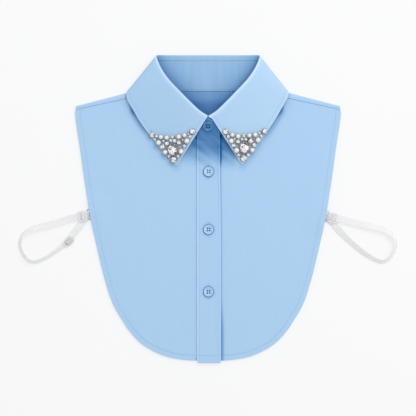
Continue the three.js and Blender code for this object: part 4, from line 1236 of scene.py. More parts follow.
def floor_material():
    """A near-white floor that glows a little, so that it stays as even as a lit backdrop."""
    material, tree, shader = new_material(
        "pale_floor", Roughness=0.95, Specular_IOR_Level=0.0,
        Emission_Color=(1, 1, 1, 1), Emission_Strength=0.6)
    dark, light = tone((1, 1, 1), 0.345), tone((1, 1, 1), 0.355)
    tree.links.new(blended(tree, mottle(tree, 6.0), dark, light), shader.inputs["Base Color"])
    return material


# Geometry Nodes

def geometry_tree(name, inputs):
    tree = bpy.data.node_groups.new(name, "GeometryNodeTree")
    tree.interface.new_socket("Geometry", in_out="INPUT", socket_type="NodeSocketGeometry")
    for key, kind in inputs:
        tree.interface.new_socket(key, in_out="INPUT", socket_type="NodeSocket" + kind)
    tree.interface.new_socket("Geometry", in_out="OUTPUT", socket_type="NodeSocketGeometry")
    return tree, tree.nodes.new("NodeGroupInput").outputs, tree.nodes.new("NodeGroupOutput")


def named_vector(tree, name):
    node = add_node(tree, "GeometryNodeInputNamedAttribute", {"Name": name}, data_type="FLOAT_VECTOR")
    return node.outputs["Attribute"]


def set_down(tree, end, instances, material):
    """The instances are made real, given their material and led to the tree's end."""
    real = add_node(tree, "GeometryNodeRealizeInstances", {"Geometry": instances})
    dressed = add_node(
        tree, "GeometryNodeSetMaterial", {"Geometry": real.outputs[0], "Material": material})
    tree.links.new(dressed.outputs[0], end.inputs[0])


def stitch_tree():
    """Stitches along a line, each a short swell of thread turned with the cloth under it."""
    tree, given, end = geometry_tree("row_of_stitches", (
        ("Pitch", "Float"), ("Length", "Float"), ("Width", "Float"), ("Material", "Material")))
    line = add_node(tree, "GeometryNodeMeshToCurve", {"Mesh": given["Geometry"]})
    spaced = add_node(tree, "GeometryNodeResampleCurve",
                      {"Curve": line.outputs[0], "Length": given["Pitch"]}, mode="LENGTH")
    tangent = tree.nodes.new("GeometryNodeInputTangent")
    lengthwise = add_node(
        tree, "FunctionNodeAlignRotationToVector", {"Vector": tangent.outputs[0]}, axis="X")
    upright = add_node(tree, "FunctionNodeAlignRotationToVector",
                       {"Rotation": lengthwise.outputs[0], "Vector": named_vector(tree, "up")},
                       axis="Z", pivot_axis="X")
    thread = add_node(
        tree, "GeometryNodeMeshUVSphere", {"Segments": 6, "Rings": 5, "Radius": 0.5})
    smooth = add_node(tree, "GeometryNodeSetShadeSmooth", {"Geometry": thread.outputs["Mesh"]})
    size = add_node(tree, "ShaderNodeCombineXYZ",
                    {"X": given["Length"], "Y": given["Width"], "Z": given["Width"]})
    placed = add_node(tree, "GeometryNodeInstanceOnPoints", {
        "Points": spaced.outputs[0], "Instance": smooth.outputs[0],
        "Rotation": upright.outputs[0], "Scale": size.outputs[0]})
    set_down(tree, end, placed.outputs[0], given["Material"])
    return tree


def placing_tree():
    """One shape set on every point, turned and scaled by the point's own attributes."""
    tree, given, end = geometry_tree(
        "set_on_points", (("Shape", "Object"), ("Material", "Material")))
    shape = add_node(tree, "GeometryNodeObjectInfo", {"Object": given["Shape"]})
    turn = add_node(tree, "FunctionNodeEulerToRotation", {"Euler": named_vector(tree, "turn")})
    placed = add_node(tree, "GeometryNodeInstanceOnPoints", {
        "Points": given["Geometry"], "Instance": shape.outputs["Geometry"],
        "Rotation": turn.outputs[0], "Scale": named_vector(tree, "size")})
    set_down(tree, end, placed.outputs[0], given["Material"])
    return tree


def made_by_nodes(piece, tree, values):
    """The piece's modifier is run with the values and taken off, and its result is kept."""
    modifier = piece.modifiers.new(tree.name, "NODES")
    modifier.node_group = tree
    for item in tree.interface.items_tree:
        if item.item_type == "SOCKET" and item.in_out == "INPUT" and item.name in values:
            modifier[item.identifier] = values[item.name]
    graph = bpy.context.evaluated_depsgraph_get()
    mesh = bpy.data.meshes.new_from_object(piece.evaluated_get(graph))
    mesh.name = piece.name
    piece.modifiers.clear()
    piece.data = mesh
    return piece


def set_on_points(name, shape, places, material):
    """A piece of many like shapes. places holds a point in metres, a turn and a size for each."""
    points, turns, sizes = zip(*places)
    mesh = bpy.data.meshes.new(name)
    mesh.from_pydata(points, [], [])
    for key, values in (("turn", turns), ("size", sizes)):
        store(mesh, key, [channel for value in values for channel in value], "FLOAT_VECTOR")
    tree = bpy.data.node_groups.get("set_on_points") or placing_tree()
    return made_by_nodes(add_object(name, mesh), tree, {"Shape": shape, "Material": material})


def surface_of(name):
    piece = bpy.data.objects[name]
    return BVHTree.FromPolygons(
        [v.co.copy() for v in piece.data.vertices], [p.vertices[:] for p in piece.data.polygons])


def seat_on(surface, x, y):
    """The top of a surface under a place in millimetres, and the way it faces there."""
    above = in_frame(Vector((x, y, 0)))
    above.z = 0.2
    point, normal, _, _ = surface.ray_cast(above, -UP)
    if point is None:
        raise RuntimeError(f"nothing lies under {x:.1f}, {y:.1f}")
    return point, normal if normal.z > 0 else -normal


def stitch_row(name, lines, surface, depth, shade):
    """A row of stitches along each line of places, laid on a surface. depth is how deep their
    painted shade is, over the painted shade of the place."""
    cloth = bpy.context.scene.bib_cloth
    points, edges, ups, shades = [], [], [], []
    for line in lines:
        start = len(points)
        for place in thickened(line, 1.5):
            point, normal = seat_on(surface, place.x, place.y)
            points.append(point + normal * 0.08 * MM)
            ups.extend(normal)
            shades.append(depth(place.x, place.y) + shade(place.x, place.y))
        edges += [(k, k + 1) for k in range(start, len(points) - 1)]
    mesh = bpy.data.meshes.new(name)
    mesh.from_pydata(points, edges, [])
    store(mesh, "up", ups, "FLOAT_VECTOR")
    store(mesh, "shade", shades)
    tree = bpy.data.node_groups.get("row_of_stitches") or stitch_tree()
    piece = made_by_nodes(add_object(name, mesh), tree, {
        "Pitch": cloth.stitch_pitch, "Length": cloth.stitch_length,
        "Width": cloth.stitch_width, "Material": thread_material()})
    return finish_piece(piece, None)


def offset_line(line, distance):
    """The line moved to its left by a distance, with its corners kept sharp."""
    moved = []
    for i, point in enumerate(line):
        before = (point - line[i - 1]).normalized() if i else None
        after = (line[i + 1] - point).normalized() if i + 1 < len(line) else None
        before = before or after
        after = after or before
        way = (before + after).normalized()
        stretch = 1 / max(way.dot(after), 0.4)
        moved.append(point + Vector((-way.y, way.x, 0)) * distance * stretch)
    return moved


# Pieces

class BIB_OT_back(bpy.types.Operator):
    """Back panel with the yoke strips that come over the shoulders"""
    bl_idname = "bib.back"
    bl_label = "Back Panel"

    def execute(self, context):
        outline, hemmed = back_outline()
        back = panel_cloth("back_cloth", outline, hemmed, HEM_SEAM, back_height,
                           back_shade, hem_seam_shade, spacing=4.0)
        finish_piece(back, cloth_material(), ["back_panel"])
        for side in SIGNS:
            strip = yoke_strip(side)
            finish_piece(strip, cloth_material())
        return {"FINISHED"}


def yoke_strip(side):
    """The strip from its edge on the front, over the shoulder, to under it."""
    sign = SIGNS[side]
    on_front = (0, 0.04, 0.15, 0.3, 0.5, 0.75)
    grid = []
    places = graded(YOKE_RUN, [0, 0.15, 0.5, 1.5], 3)
    for place in places:
        share = mix(YOKE_START, 1, place)
        edge = shoulder_point(share, mix(YOKE_AT_NECK, YOKE_AT_TIP, share) + YOKE_LAP)
        line = shoulder_point(share, 0)
        high = front_height(sign * line.x, line.y)
        low = back_height(sign * line.x, line.y)
        radius = (high - low) / 2
        row = []
        over = Vector((line.x, line.y - radius * 0.8, 0))
        for part in on_front:
            point = edge.lerp(over, part)
            x = sign * point.x
            lap = drift(x, point.y) + 2 * half_cloth()
            row.append(Vector((x, point.y, front_height(x, point.y) + lap * (1 - part) ** 2)))
        for angle in range(80, -100, -20):
            turn = math.radians(angle)
            row.append(Vector((sign * line.x, line.y - radius * (1 - math.cos(turn)),
                               low + radius * (1 + math.sin(turn)))))
        for part in (0.5, 0.9, 1):
            y = line.y - mix(radius, YOKE_UNDER_REACH, part)
            row.append(Vector((sign * line.x, y, back_height(sign * line.x, y))))
        grid.append(row)

    def flat(i, j):
        return YOKE_RUN * places[i], YOKE_STEP * j

    def mark(i, j):
        point = grid[i][j]
        seam = (point - grid[i][0]).length - YOKE_SEAM if j < len(on_front) else NO_SEAM
        # Painted shade from the leaf, a painted dark line along the strip's edge, and the rest
        # painted a touch lighter
        shade = beside_leaf(point.x, point.y) + (0.3 if j < 2 else -0.03)
        return seam, YOKE_RUN * places[i], 0.4, shade if j < 2 * len(on_front) else 0

    return grid_cloth("yoke_strip_" + side, grid, flat, mark)


class BIB_OT_fronts(bpy.types.Operator):
    """Both front panels with their hems"""
    bl_idname = "bib.fronts"
    bl_label = "Front Panels"

    def execute(self, context):
        beside_sewn = (-0.9, -0.1, 0.5, 1.1, 1.9, 3.1)
        beside_free = (-0.9, -0.1, 0.5, 1.2, 2, 3.2, 5)
        for side, sign in SIGNS.items():
            outline, hemmed = front_outline(side)
            edges = [sign * (PLACKET_LEFT - off) for off in beside_sewn]
            edges += [sign * (PLACKET_LEFT + PLACKET_WIDTH + off) for off in beside_free]
            extra = [Vector((x, -36 - 2.2 * k)) for x in edges for k in range(116)]
            panel = panel_cloth("front_cloth_" + side, outline, hemmed, HEM_SEAM, front_level,
                                front_shade, hem_seam_shade, mirror=sign, extra=extra)
            finish_piece(panel, cloth_material(), ["front_panel_" + side])
        return {"FINISHED"}


class BIB_OT_placket(bpy.types.Operator):
    """Placket, sewn at its left edge and free at its right one"""
    bl_idname = "bib.placket"
    bl_label = "Placket"

    def execute(self, context):
        top = NECK_FRONT_Y + PLACKET_TUCK
        bottom = -BIB_LENGTH - PLACKET_OVERHANG
        right = PLACKET_LEFT + PLACKET_WIDTH
        corners = [Vector((x, y, 0)) for x, y in (
            (PLACKET_LEFT, top), (PLACKET_LEFT, bottom), (right, bottom), (right, top))]
        left_edge = straight(corners[0], corners[1] + Vector((0, PLACKET_CORNER, 0)), 190)
        right_edge = straight(corners[2] + Vector((0, PLACKET_CORNER, 0)), corners[3], 190)
        rounds = []
        for corner, inward, start in ((corners[1], 1, math.pi), (corners[2], -1, 1.5 * math.pi)):
            centre = corner + Vector((PLACKET_CORNER * inward, PLACKET_CORNER, 0))
            turns = [start + math.pi / 2 * k / 6 for k in range(7)]
            rounds.append([centre + Vector((math.cos(t), math.sin(t), 0)) * PLACKET_CORNER
                           for t in turns])
        foot = straight(rounds[0][-1], rounds[1][0], 20)
        right_edge = [Vector((free_edge(p.y), p.y, 0)) for p in right_edge]
        outline = left_edge + rounds[0][1:-1] + foot + rounds[1][1:-1] + right_edge
        outline += straight(right_edge[-1], corners[0], 22)[1:-1]
        extra = [Vector((PLACKET_OFFSET / 2 + reach * math.cos(k * math.pi / 24),
                         reach * math.sin(k * math.pi / 24) - down * BIB_LENGTH))
                 for down in BUTTON_DOWNS.values() for k in range(48)
                 for reach in (BUTTON_RADIUS + off for off in (-0.5, 0, 0.5, 1, 1.6))]
        placket = panel_cloth("placket_cloth", outline, left_edge + right_edge, PLACKET_SEAM,
                              placket_level, placket_shade, placket_seam_shade, spacing=2.4, extra=extra)
        finish_piece(placket, cloth_material(), ["placket"])
        return {"FINISHED"}


# How deep the painted shade in the placket's seam grooves and on their stitches is: deep on the sewn
# side, faint on the free one
def placket_seam_shade(x, y):
    return 0.55 if x < PLACKET_OFFSET + 0.4 * PLACKET_WIDTH else 0.05


def stand_grid():
    """Rows of the stand from the lapped end round the neck to the end under it."""
    sections = collar_sections(section_places())
    steps = graded(STAND_RUN, [0, 0.15, 0.5, 1], 1)

    def row(seam, top):
        return [seam.lerp(top, share) for share in steps]

    def end_rows(section, end_x):
        rows = []
        for share in (1, 0.995, 0.98, 0.95, 0.9, 0.8, 0.65, 0.5, 0.35, 0.2, 0.1):
            height = mix(STAND_END_LOW, STAND_END_HIGH, math.sqrt(1 - share * share))
            height = mix(1, height, smoothstep(share, 0, 0.35))
            seam, top = section["seam"].copy(), section["top"]
            seam.x = mix(seam.x, end_x, share)
            rows.append(row(seam, Vector((
                mix(top.x, end_x, share), mix(seam.y, top.y, height), mix(seam.z, top.z, height)))))
        return rows

    for section in sections[:len(sections) // 2]:
        seam = section["seam"]
        crossing = 1 - smoothstep(abs(seam.x - PLACKET_OFFSET), 12.5, 15.5) if seam.y < 0 else 0
        seam.y -= 1.4 * crossing
        seam.z = mix(seam.z, placket_level(seam.x, seam.y) + half_cloth(), crossing)
    over = end_rows(sections[0], STAND_OVERLAP)
    under = end_rows(sections[-1], -STAND_UNDERLAP)[::-1]
    return over + [row(s["seam"], s["top"]) for s in sections] + under


def leaf_grid():
    """Rows of the leaf from its lip inside the stand, over the fold, to its outer edge."""
    half = half_cloth()
    sections = collar_sections(section_places())
    near = [7.5, 6, 5.2, 4.6, 4.2, 3.8, 3.2, 2.2, 1.2, half, 0.12, 0]
    grid = []
    for section in sections:
        top, down, outward = section["top"], section["down"], section["outward"]
        middle = section["over"] / 2

        def place(along, off):
            return top + down * along + outward * off

        row = [place(section["lip"] * share, -mix(HOOK_RADIUS, 1.45 * half, share))
               for share in (1, 0.97, 0.85, 0.5, 0.2)]
        for angle in range(-90, 61, 15):
            turn = math.radians(angle)
            off = middle + (HOOK_RADIUS + middle) * math.sin(turn)
            row.append(place(-HOOK_RADIUS * math.cos(turn), off))
        start, edge = row[-1], section["edge"]
        length = (edge - start).length
        by_front = FRONT_EASE * max(1 + section["place"] - LAST_PLACE, 0)
        last = max(1 - near[0] / length, 0.4)
        shares = [reach / length for reach in (0.3, 0.8, 1.5)]
        shares += [last * i / FALL_STEPS for i in range(1, FALL_STEPS + 1)]
        shares += [max(1 - depth / length, 0.4 + 0.05 * (6 - depth)) for depth in near[1:]]
        for share in shares:
            point = start.lerp(edge, share)
            point.z = mix(edge.z, start.z, (1 - share) ** section["fall"])
            point.x += by_front * min(share / 0.04, 1) * (1 - share)
            row.append(point)
        grid.append(row)
    return sections, grid
def round_tip(grid, side):
    """The corner of the leaf by its tip is eased back to a small round."""
    first = 0 if side == "left" else len(grid) - 1
    inner = 1 if side == "left" else -1
    tip = grid[first][-1].copy()
    along_front = (grid[first][-14] - tip).to_2d().normalized()
    along_edge = (grid[first + 8 * inner][-1] - tip).to_2d().normalized()
    bisector = (along_front + along_edge).normalized()
    half_angle = math.acos(max(-1, min(1, bisector.dot(along_front))))
    centre = tip.to_2d() + bisector * TIP_ROUNDING / math.sin(half_angle)
    for row in (grid[first + k * inner] for k in range(14)):
        for point in row[-30:]:
            away = point.to_2d() - centre
            toward = away.normalized().dot(-bisector)
            if away.length < 1e-6 or toward < math.sin(half_angle):
                continue
            angle = math.acos(max(-1, min(1, toward)))
            reach = TIP_ROUNDING / math.cos(math.pi / 2 - half_angle - angle)
            point.x, point.y = centre + away * min(1, TIP_ROUNDING / max(reach, 1e-6))


class BIB_OT_collar(bpy.types.Operator):
    """Collar stand and the leaf that folds over it"""
    bl_idname = "bib.collar"
    bl_label = "Collar"

    def execute(self, context):
        self.add_stand()
        self.add_leaf()
        return {"FINISHED"}

    def add_stand(self):
        grid = stand_grid()
        runs = run_lengths([row[0] for row in grid])

        def flat(i, j):
            return runs[i], (grid[i][j] - grid[i][0]).length

        def mark(i, j):
            x, y, _ = grid[i][j]
            low = 1 - smoothstep(y, V_POINT_Y - 4, V_POINT_Y + 6)
            shade = mix(neck_shade(x, y, STAND_SHADE), under_collar(x, y) * 0.92, low)
            return flat(i, j)[1] - STAND_SEAM, runs[i], 0.5 * (1 - low), shade + stand_fold(x, y)

        stand = grid_cloth("collar_stand_cloth", grid, flat, mark)
        finish_piece(stand, cloth_material(), ["collar_stand"])

    def add_leaf(self):
        sections, grid = leaf_grid()
        for side in SIGNS:
            round_tip(grid, side)
        runs = run_lengths([row[FOLD_COLUMN] for row in grid])
        trees = [near_tree(thickened(leaf_line(side, grid, sections))) for side in SIGNS]

        def flat(i, j):
            return runs[i], (grid[i][j] - grid[i][FOLD_COLUMN]).length

        def mark(i, j):
            point = grid[i][j]
            # Painted shade inside the neck, painted a little lighter along the lip's edge
            inner = neck_shade(point.x, point.y, STAND_SHADE) - 0.04 - (0.12 if j < 3 else 0)
            if j < 10:
                return (point - grid[i][0]).length - LIP_SEAM, runs[i], 0.3, inner
            # Over the fold's crest the painted shade gives way to a painted highlight
            if j < FOLD_COLUMN:
                return NO_SEAM, 0, 0, mix(inner, -0.2, smoothstep(j, 10.5, 13.5))
            if LEAF_FRONT_END < sections[i]["place"] < LAST_PLACE - LEAF_FRONT_END:
                return NO_SEAM, 0, 0, 0
            tree, lengths = trees[0 if point.x < 0 else 1]
            _, at, distance = tree.find(Vector((point.x, point.y, 0)))
            # Painted highlight: a light line along the leaf's edges and by the fold's crest
            painted_highlight = EDGE_HIGHLIGHT * bell(distance - 0.4, 0.6)
            painted_highlight += FOLD_HIGHLIGHT * math.exp(-flat(i, j)[1] / 1.3)
            # Painted light over the whole leaf, stronger towards the right
            light = LEAF_LIGHT * (1 + point.x / 60)
            return distance - LEAF_SEAM, lengths[at], 0.35, -light - painted_highlight

        leaf = grid_cloth("collar_leaf_cloth", grid, flat, mark, lambda j: min(0.3 + 0.175 * j, 1))
        finish_piece(leaf, cloth_material(), ["collar_leaf"])


def leaf_line(side, grid, sections):
    """The leaf's visible outline in plan, from the V point by the tip to the side turn."""
    if side == "right":
        grid, sections = grid[::-1], sections[::-1]
    line = [Vector((p.x, p.y, 0)) for p in grid[0][FOLD_COLUMN:]]
    for row, section in list(zip(grid, sections))[1:]:
        place = section["place"] if side == "left" else LAST_PLACE - section["place"]
        if place <= len(FRONT_SECTIONS):
            line.append(Vector((row[-1].x, row[-1].y, 0)))
    return line


class BIB_OT_buttons(bpy.types.Operator):
    """Four-hole buttons with their thread"""
    bl_idname = "bib.buttons"
    bl_label = "Buttons"

    def execute(self, context):
        # The buttons' resin is darkened by the painted shade in their shade attribute
        plastic = glossy_material("button_resin", context.scene.bib_cloth.color, 0.3, 300,
                                  coat=0.3, contrast=0.04, painted_shade=True)
        body_shape, thread_shape = button_shape(), button_thread_shape()
        placket = surface_of("placket_cloth")
        stand = surface_of("collar_stand_cloth")
        places = [(name, seat_on(placket, PLACKET_OFFSET / 2, -down * BIB_LENGTH), BUTTON_RADIUS)
                  for name, down in BUTTON_DOWNS.items()]
        collar_y = mix(NECK_FRONT_Y, V_POINT_Y, COLLAR_BUTTON_SHARE)
        places.append(("button_collar", seat_on(stand, 0, collar_y), COLLAR_BUTTON_RADIUS))
        for name, (point, normal), radius in places:
            turn = UP.rotation_difference(normal).to_euler()
            at_collar = name == "button_collar"
            wide = radius * MM * (1.04 if at_collar else BUTTON_EASE)
            tall = BUTTON_THICKNESS * MM
            place = point + normal * 0.25 * MM
            body = set_on_points(
                name + "_body", body_shape, [(place, turn, (wide, wide, tall))], plastic)
            if at_collar:
                self.shade_collar_button(body, place, wide, under_collar(0, collar_y))
            finish_piece(body, None, [name])
            drawn = wide * (0.45 if at_collar else 1)
            thread = set_on_points(name + "_thread", thread_shape,
                                   [(place, turn, (drawn, drawn, tall))], thread_material())
            shade = BUTTON_THREAD_SHADES[at_collar]
            store(thread.data, "shade", [shade] * len(thread.data.vertices))
            finish_piece(thread, None)
        for shape in (body_shape, thread_shape):
            bpy.data.objects.remove(shape)
        return {"FINISHED"}

    def shade_collar_button(self, piece, place, wide, depth):
        """Painted shade on the button that the collar covers: the collar's painted shade, a painted
        light ring with a darker one inside it, more shade at its middle, and darkest up to the right.
        """
        for point, item in zip(piece.data.vertices, piece.data.attributes["shade"].data):
            way = (point.co - place) / wide
            reach = math.hypot(way.x, way.y)
            ring = bell(reach - 0.84, 0.1) - 0.7 * bell(reach - 0.6, 0.12)
            far = smoothstep(0.5 * way.x + 0.86 * way.y, 0.3, 0.95) * smoothstep(reach, 0.86, 0.95)
            item.value = depth - 0.2 * ring + 0.9 * far + 0.3 * (1 - smoothstep(reach, 0.2, 0.5))


def lathe(name, profile, sides, smooth_angle=30):
    """A closed solid of revolution from (radius, height) pairs that start and end on the axis."""
    shell = bmesh.new()
    points = [shell.verts.new((radius, 0, height)) for radius, height in profile]
    edges = [shell.edges.new(pair) for pair in zip(points, points[1:])]
    bmesh.ops.spin(shell, geom=points + edges, axis=(0, 0, 1), cent=(0, 0, 0),
                   steps=sides, angle=2 * math.pi, use_merge=True)
    bmesh.ops.remove_doubles(shell, verts=shell.verts, dist=1e-5)
    bmesh.ops.recalc_face_normals(shell, faces=shell.faces)
    piece = shell_object(name, shell)
    piece.data.shade_smooth()
    piece.data.set_sharp_from_angle(angle=math.radians(smooth_angle))
    return piece


def four_posts(name, sides, radius, depth, height):
    """Upright posts where a button of radius 1 has its holes."""
    shell = bmesh.new()
    spread = BUTTON_HOLE_SPACING / BUTTON_RADIUS / 2
    for x in (-spread, spread):
        for y in (-spread, spread):
            bmesh.ops.create_cone(shell, cap_ends=True, segments=sides, radius1=radius, depth=depth,
                                  radius2=radius, matrix=Matrix.Translation((x, y, height)))
    return shell_object(name, shell)


def button_shape():
    """A button of radius 1 and thickness 1: round rim, dished face and four holes."""
    profile = [(0, 0), (0.74, 0), (0.86, 0.06), (0.95, 0.2), (1, 0.4), (0.99, 0.62), (0.95, 0.82),
               (0.89, 0.95), (0.82, 1), (0.76, 0.97), (0.71, 0.87), (0.67, 0.76), (0.62, 0.7),
               (0.5, 0.68), (0, 0.66)]
    button = lathe("button_shape", profile, 48)
    cutter = four_posts("drill", 20, BUTTON_HOLE_RADIUS / BUTTON_RADIUS, 4, 0)
    cut = button.modifiers.new("holes", "BOOLEAN")
    cut.object = cutter
    cut.solver = "EXACT"
    graph = bpy.context.evaluated_depsgraph_get()
    drilled = bpy.data.meshes.new_from_object(button.evaluated_get(graph))
    button.modifiers.clear()
    button.data = drilled
    bpy.data.objects.remove(cutter)
    drilled.shade_smooth()
    drilled.set_sharp_from_angle(angle=math.radians(35))
    # Painted shade on the outer wall and in the groove round the face, and a painted highlight over
    # the face, lighter still towards its left
    shades = []
    for point in drilled.vertices:
        reach = math.hypot(point.co.x, point.co.y)
        outer = smoothstep(reach, 0.88, 0.97)
        left = smoothstep(-point.co.x, 0.35, 0.75) * (1 - outer)
        groove = 0.24 * bell(reach - 0.69, 0.06)
        shades.append(0.95 * outer + groove - 0.07 * (1 - outer) - 0.1 * left)
    store(drilled, "shade", shades)
    return button


def button_thread_shape():
    """Thread held in the button's four holes."""
    return four_posts("thread_shape", 10, 0.86 * BUTTON_HOLE_RADIUS / BUTTON_RADIUS, 0.5, 0.3)


class BIB_OT_stitches(bpy.types.Operator):
    """Rows of stitches along the hems, the placket, the collar and the yoke"""
    bl_idname = "bib.stitches"
    bl_label = "Stitches"

    def execute(self, context):
        for side, sign in SIGNS.items():
            _, hemmed = front_outline(side)
            line = offset_line(hemmed[4:-8], -HEM_SEAM)
            line = [Vector((sign * p.x, p.y, 0)) for p in line]
            stitch_row("hem_stitches_" + side, [line], surface_of("front_cloth_" + side),
                       lambda x, y: HEM_STITCH_SHADE * hem_seam_shade(x, y), front_shade)
            self.yoke_row(side, sign)
        self.placket_rows()
        self.collar_rows()
        return {"FINISHED"}

    def yoke_row(self, side, sign):
        line = []
        for i in range(30):
            share = mix(YOKE_START + 0.02, 0.98, i / 29)
            inset = mix(YOKE_AT_NECK, YOKE_AT_TIP, share) - YOKE_SEAM * mix(1, 0.7, share)
            point = shoulder_point(share, inset)
            line.append(Vector((sign * point.x, point.y, 0)))
        stitch_row("yoke_stitches_" + side, [line], surface_of("yoke_strip_" + side),
                   lambda x, y: YOKE_STITCH_SHADE, beside_leaf)

    def placket_rows(self):
        top = NECK_FRONT_Y - STAND_WALL - GAP
        bottom = 0.6 - BIB_LENGTH - PLACKET_OVERHANG
        left = PLACKET_LEFT + PLACKET_SEAM
        sewn = [Vector((left, top, 0)), Vector((left, bottom, 0))]
        free = [Vector((free_edge(p.y) - PLACKET_SEAM, p.y, 0))
                for p in straight(Vector((0, top, 0)), Vector((0, bottom, 0)), 30)]
        right = PLACKET_LEFT + PLACKET_WIDTH - 1
        across = level_line(PLACKET_LEFT + 1, right, HEM_SEAM - BIB_LENGTH)
        stitch_row("placket_stitches", [sewn, free, across], surface_of("placket_cloth"),
                   placket_seam_shade, under_collar)

    def collar_rows(self):
        sections, grid = leaf_grid()
        lines = []
        for side, sign in SIGNS.items():
            line = leaf_line(side, grid, sections)
            tree = near_tree(thickened(line))[0]
            inner = offset_line(line, sign * LEAF_SEAM)[3:-1]
            lines.append([p for p in inner if tree.find(p)[2] > 0.9 * LEAF_SEAM])
        stitch_row("leaf_stitches", lines, surface_of("collar_leaf_cloth"),
                   lambda x, y: COLLAR_STITCH_SHADE, lambda x, y: 0)
        inner = (lambda x, y: COLLAR_STITCH_SHADE, lambda x, y: neck_shade(x, y, STAND_SHADE))
        reach = NECK_HALF_WIDTH * 0.7
        stitch_row("neck_stitches", [level_line(-reach, reach, BACK_NECK_RISE + STAND_SEAM)],
                   surface_of("collar_stand_cloth"), *inner)
        reach = FOLD_HALF_WIDTH * 0.93
        lip_y = COLLAR_TOP_Y - FOLD_REACH - LEAF_LIP + LIP_SEAM
        stitch_row("lip_stitches", [level_line(-reach, reach, lip_y)],
                   surface_of("collar_leaf_cloth"), *inner)


def level_line(left, right, y):
    return [Vector((left, y, 0)), Vector((right, y, 0))]


def gem_shape(seed):
    """A cut stone 1 wide and 1 high: a table with the back facets seen through it, star and
    kite facets, and a girdle. Each facet keeps its own painted glint, a tone chosen at random that
    stands in for what it reflects."""
    chance = random.Random(seed)
    points, faces, painted_glints = [], [], []

    def ring(count, radius, height, offset=0.0):
        first = len(points)
        for k in range(count):
            turn = 2 * math.pi * (k + offset) / count
            points.append((radius * math.cos(turn), radius * math.sin(turn), height))
        return [first + k for k in range(count)]

    def facet(corners, value):
        faces.append(corners)
        painted_glints.append(value)

    table = ring(8, 0.27, 0.95)
    heart = ring(8, 0.13, 0.955, 0.5)
    middle = ring(8, 0.385, 0.83, 0.5)
    girdle = ring(16, 0.465, 0.62)
    foot = ring(16, 0.45, 0.4)
    centre = len(points)
    points.append((0, 0, 0.955))
    base = len(points)
    points.append((0, 0, 0.2))
    for k in range(8):
        n = (k + 1) % 8
        facet((heart[k], heart[n], centre), chance.choice((0.95, 0.9, 0.45)))
        facet((table[n], heart[n], heart[k]), chance.choice((0.1, 0.7, 0.9)))
        facet((table[k], table[n], heart[k]), chance.choice((0.85, 0.35, 1.0)))
        facet((table[n], table[k], middle[k]), chance.choice((0.9, 0.75, 0.3)))
        kite = (table[k], middle[k - 1], girdle[2 * k], middle[k])
        facet(kite, chance.choice((0.8, 0.25, 0.55, 1.0)))
        odd = girdle[2 * k + 1]
        facet((middle[k], girdle[2 * k], odd), chance.choice((0.1, 0.3, 0.6)))
        facet((middle[k], odd, girdle[(2 * k + 2) % 16]), chance.choice((0.15, 0.5, 0.75)))
    for k in range(16):
        n = (k + 1) % 16
        facet((girdle[k], girdle[n], foot[n], foot[k]), 0.2)
        facet((foot[k], foot[n], base), 0.1)
    mesh = bpy.data.meshes.new("gem_shape")
    mesh.from_pydata(points, [], faces)
    store(mesh, "facet", painted_glints, domain="FACE")
    turn_outward(mesh)
    return add_object("gem_shape", mesh)


def cup_shape(claws):
    """A stone's metal cup 1 wide and 1 high, with claws bent over the girdle."""
    profile = [(0.28, 0), (0.4, 0.02), (0.49, 0.38), (0.5, 0.5), (0.485, 0.56), (0.465, 0.57),
               (0.455, 0.5), (0.4, 0.2), (0.28, 0.08)]
    shell = bmesh.new()
    count = 20
    rings = []
    for k in range(count):
        turn = 2 * math.pi * k / count
        x, y = math.cos(turn), math.sin(turn)
        rings.append([shell.verts.new((r * x, r * y, z)) for r, z in profile])
    for k in range(count):
        for face in joined(rings[k - 1], rings[k]):
            shell.faces.new(face)
    path = [(0.495, 0.1), (0.51, 0.35), (0.515, 0.6), (0.49, 0.74), (0.44, 0.82), (0.4, 0.84)]
    widths = [0.05, 0.055, 0.055, 0.055, 0.045, 0.02]
    for k in range(claws):
        turn = 2 * math.pi * (k + 0.5) / claws
        out = Vector((math.cos(turn), math.sin(turn), 0))
        side = Vector((-out.y, out.x, 0))
        loops = []
        for i, ((r, z), width) in enumerate(zip(path, widths)):
            before, after = path[max(i - 1, 0)], path[min(i + 1, len(path) - 1)]
            way = (out * (after[0] - before[0]) + UP * (after[1] - before[1])).normalized()
            off = way.cross(side)
            centre = out * r + UP * z
            loops.append([shell.verts.new(centre + (side * math.cos(a) + off * math.sin(a)) * width)
                          for a in (math.pi * s / 3 for s in range(6))])
        for last, loop in zip(loops, loops[1:]):
            for face in joined(last, loop):
                shell.faces.new(face)
        shell.faces.new(loops[-1])
        shell.faces.new(loops[0][::-1])
    bmesh.ops.recalc_face_normals(shell, faces=shell.faces)
    cup = shell_object("cup_shape", shell)
    cup.data.shade_smooth()
    return cup


def ball_shape():
    """A pearl 1 wide that stands on its lowest point."""
    count = 14
    profile = [(0.5 * math.sin(math.pi * k / count), 0.5 - 0.5 * math.cos(math.pi * k / count))
               for k in range(count + 1)]
    profile[0] = (0, 0)
    profile[-1] = (0, 1)
    return lathe("ball_shape", profile, 24, 180)


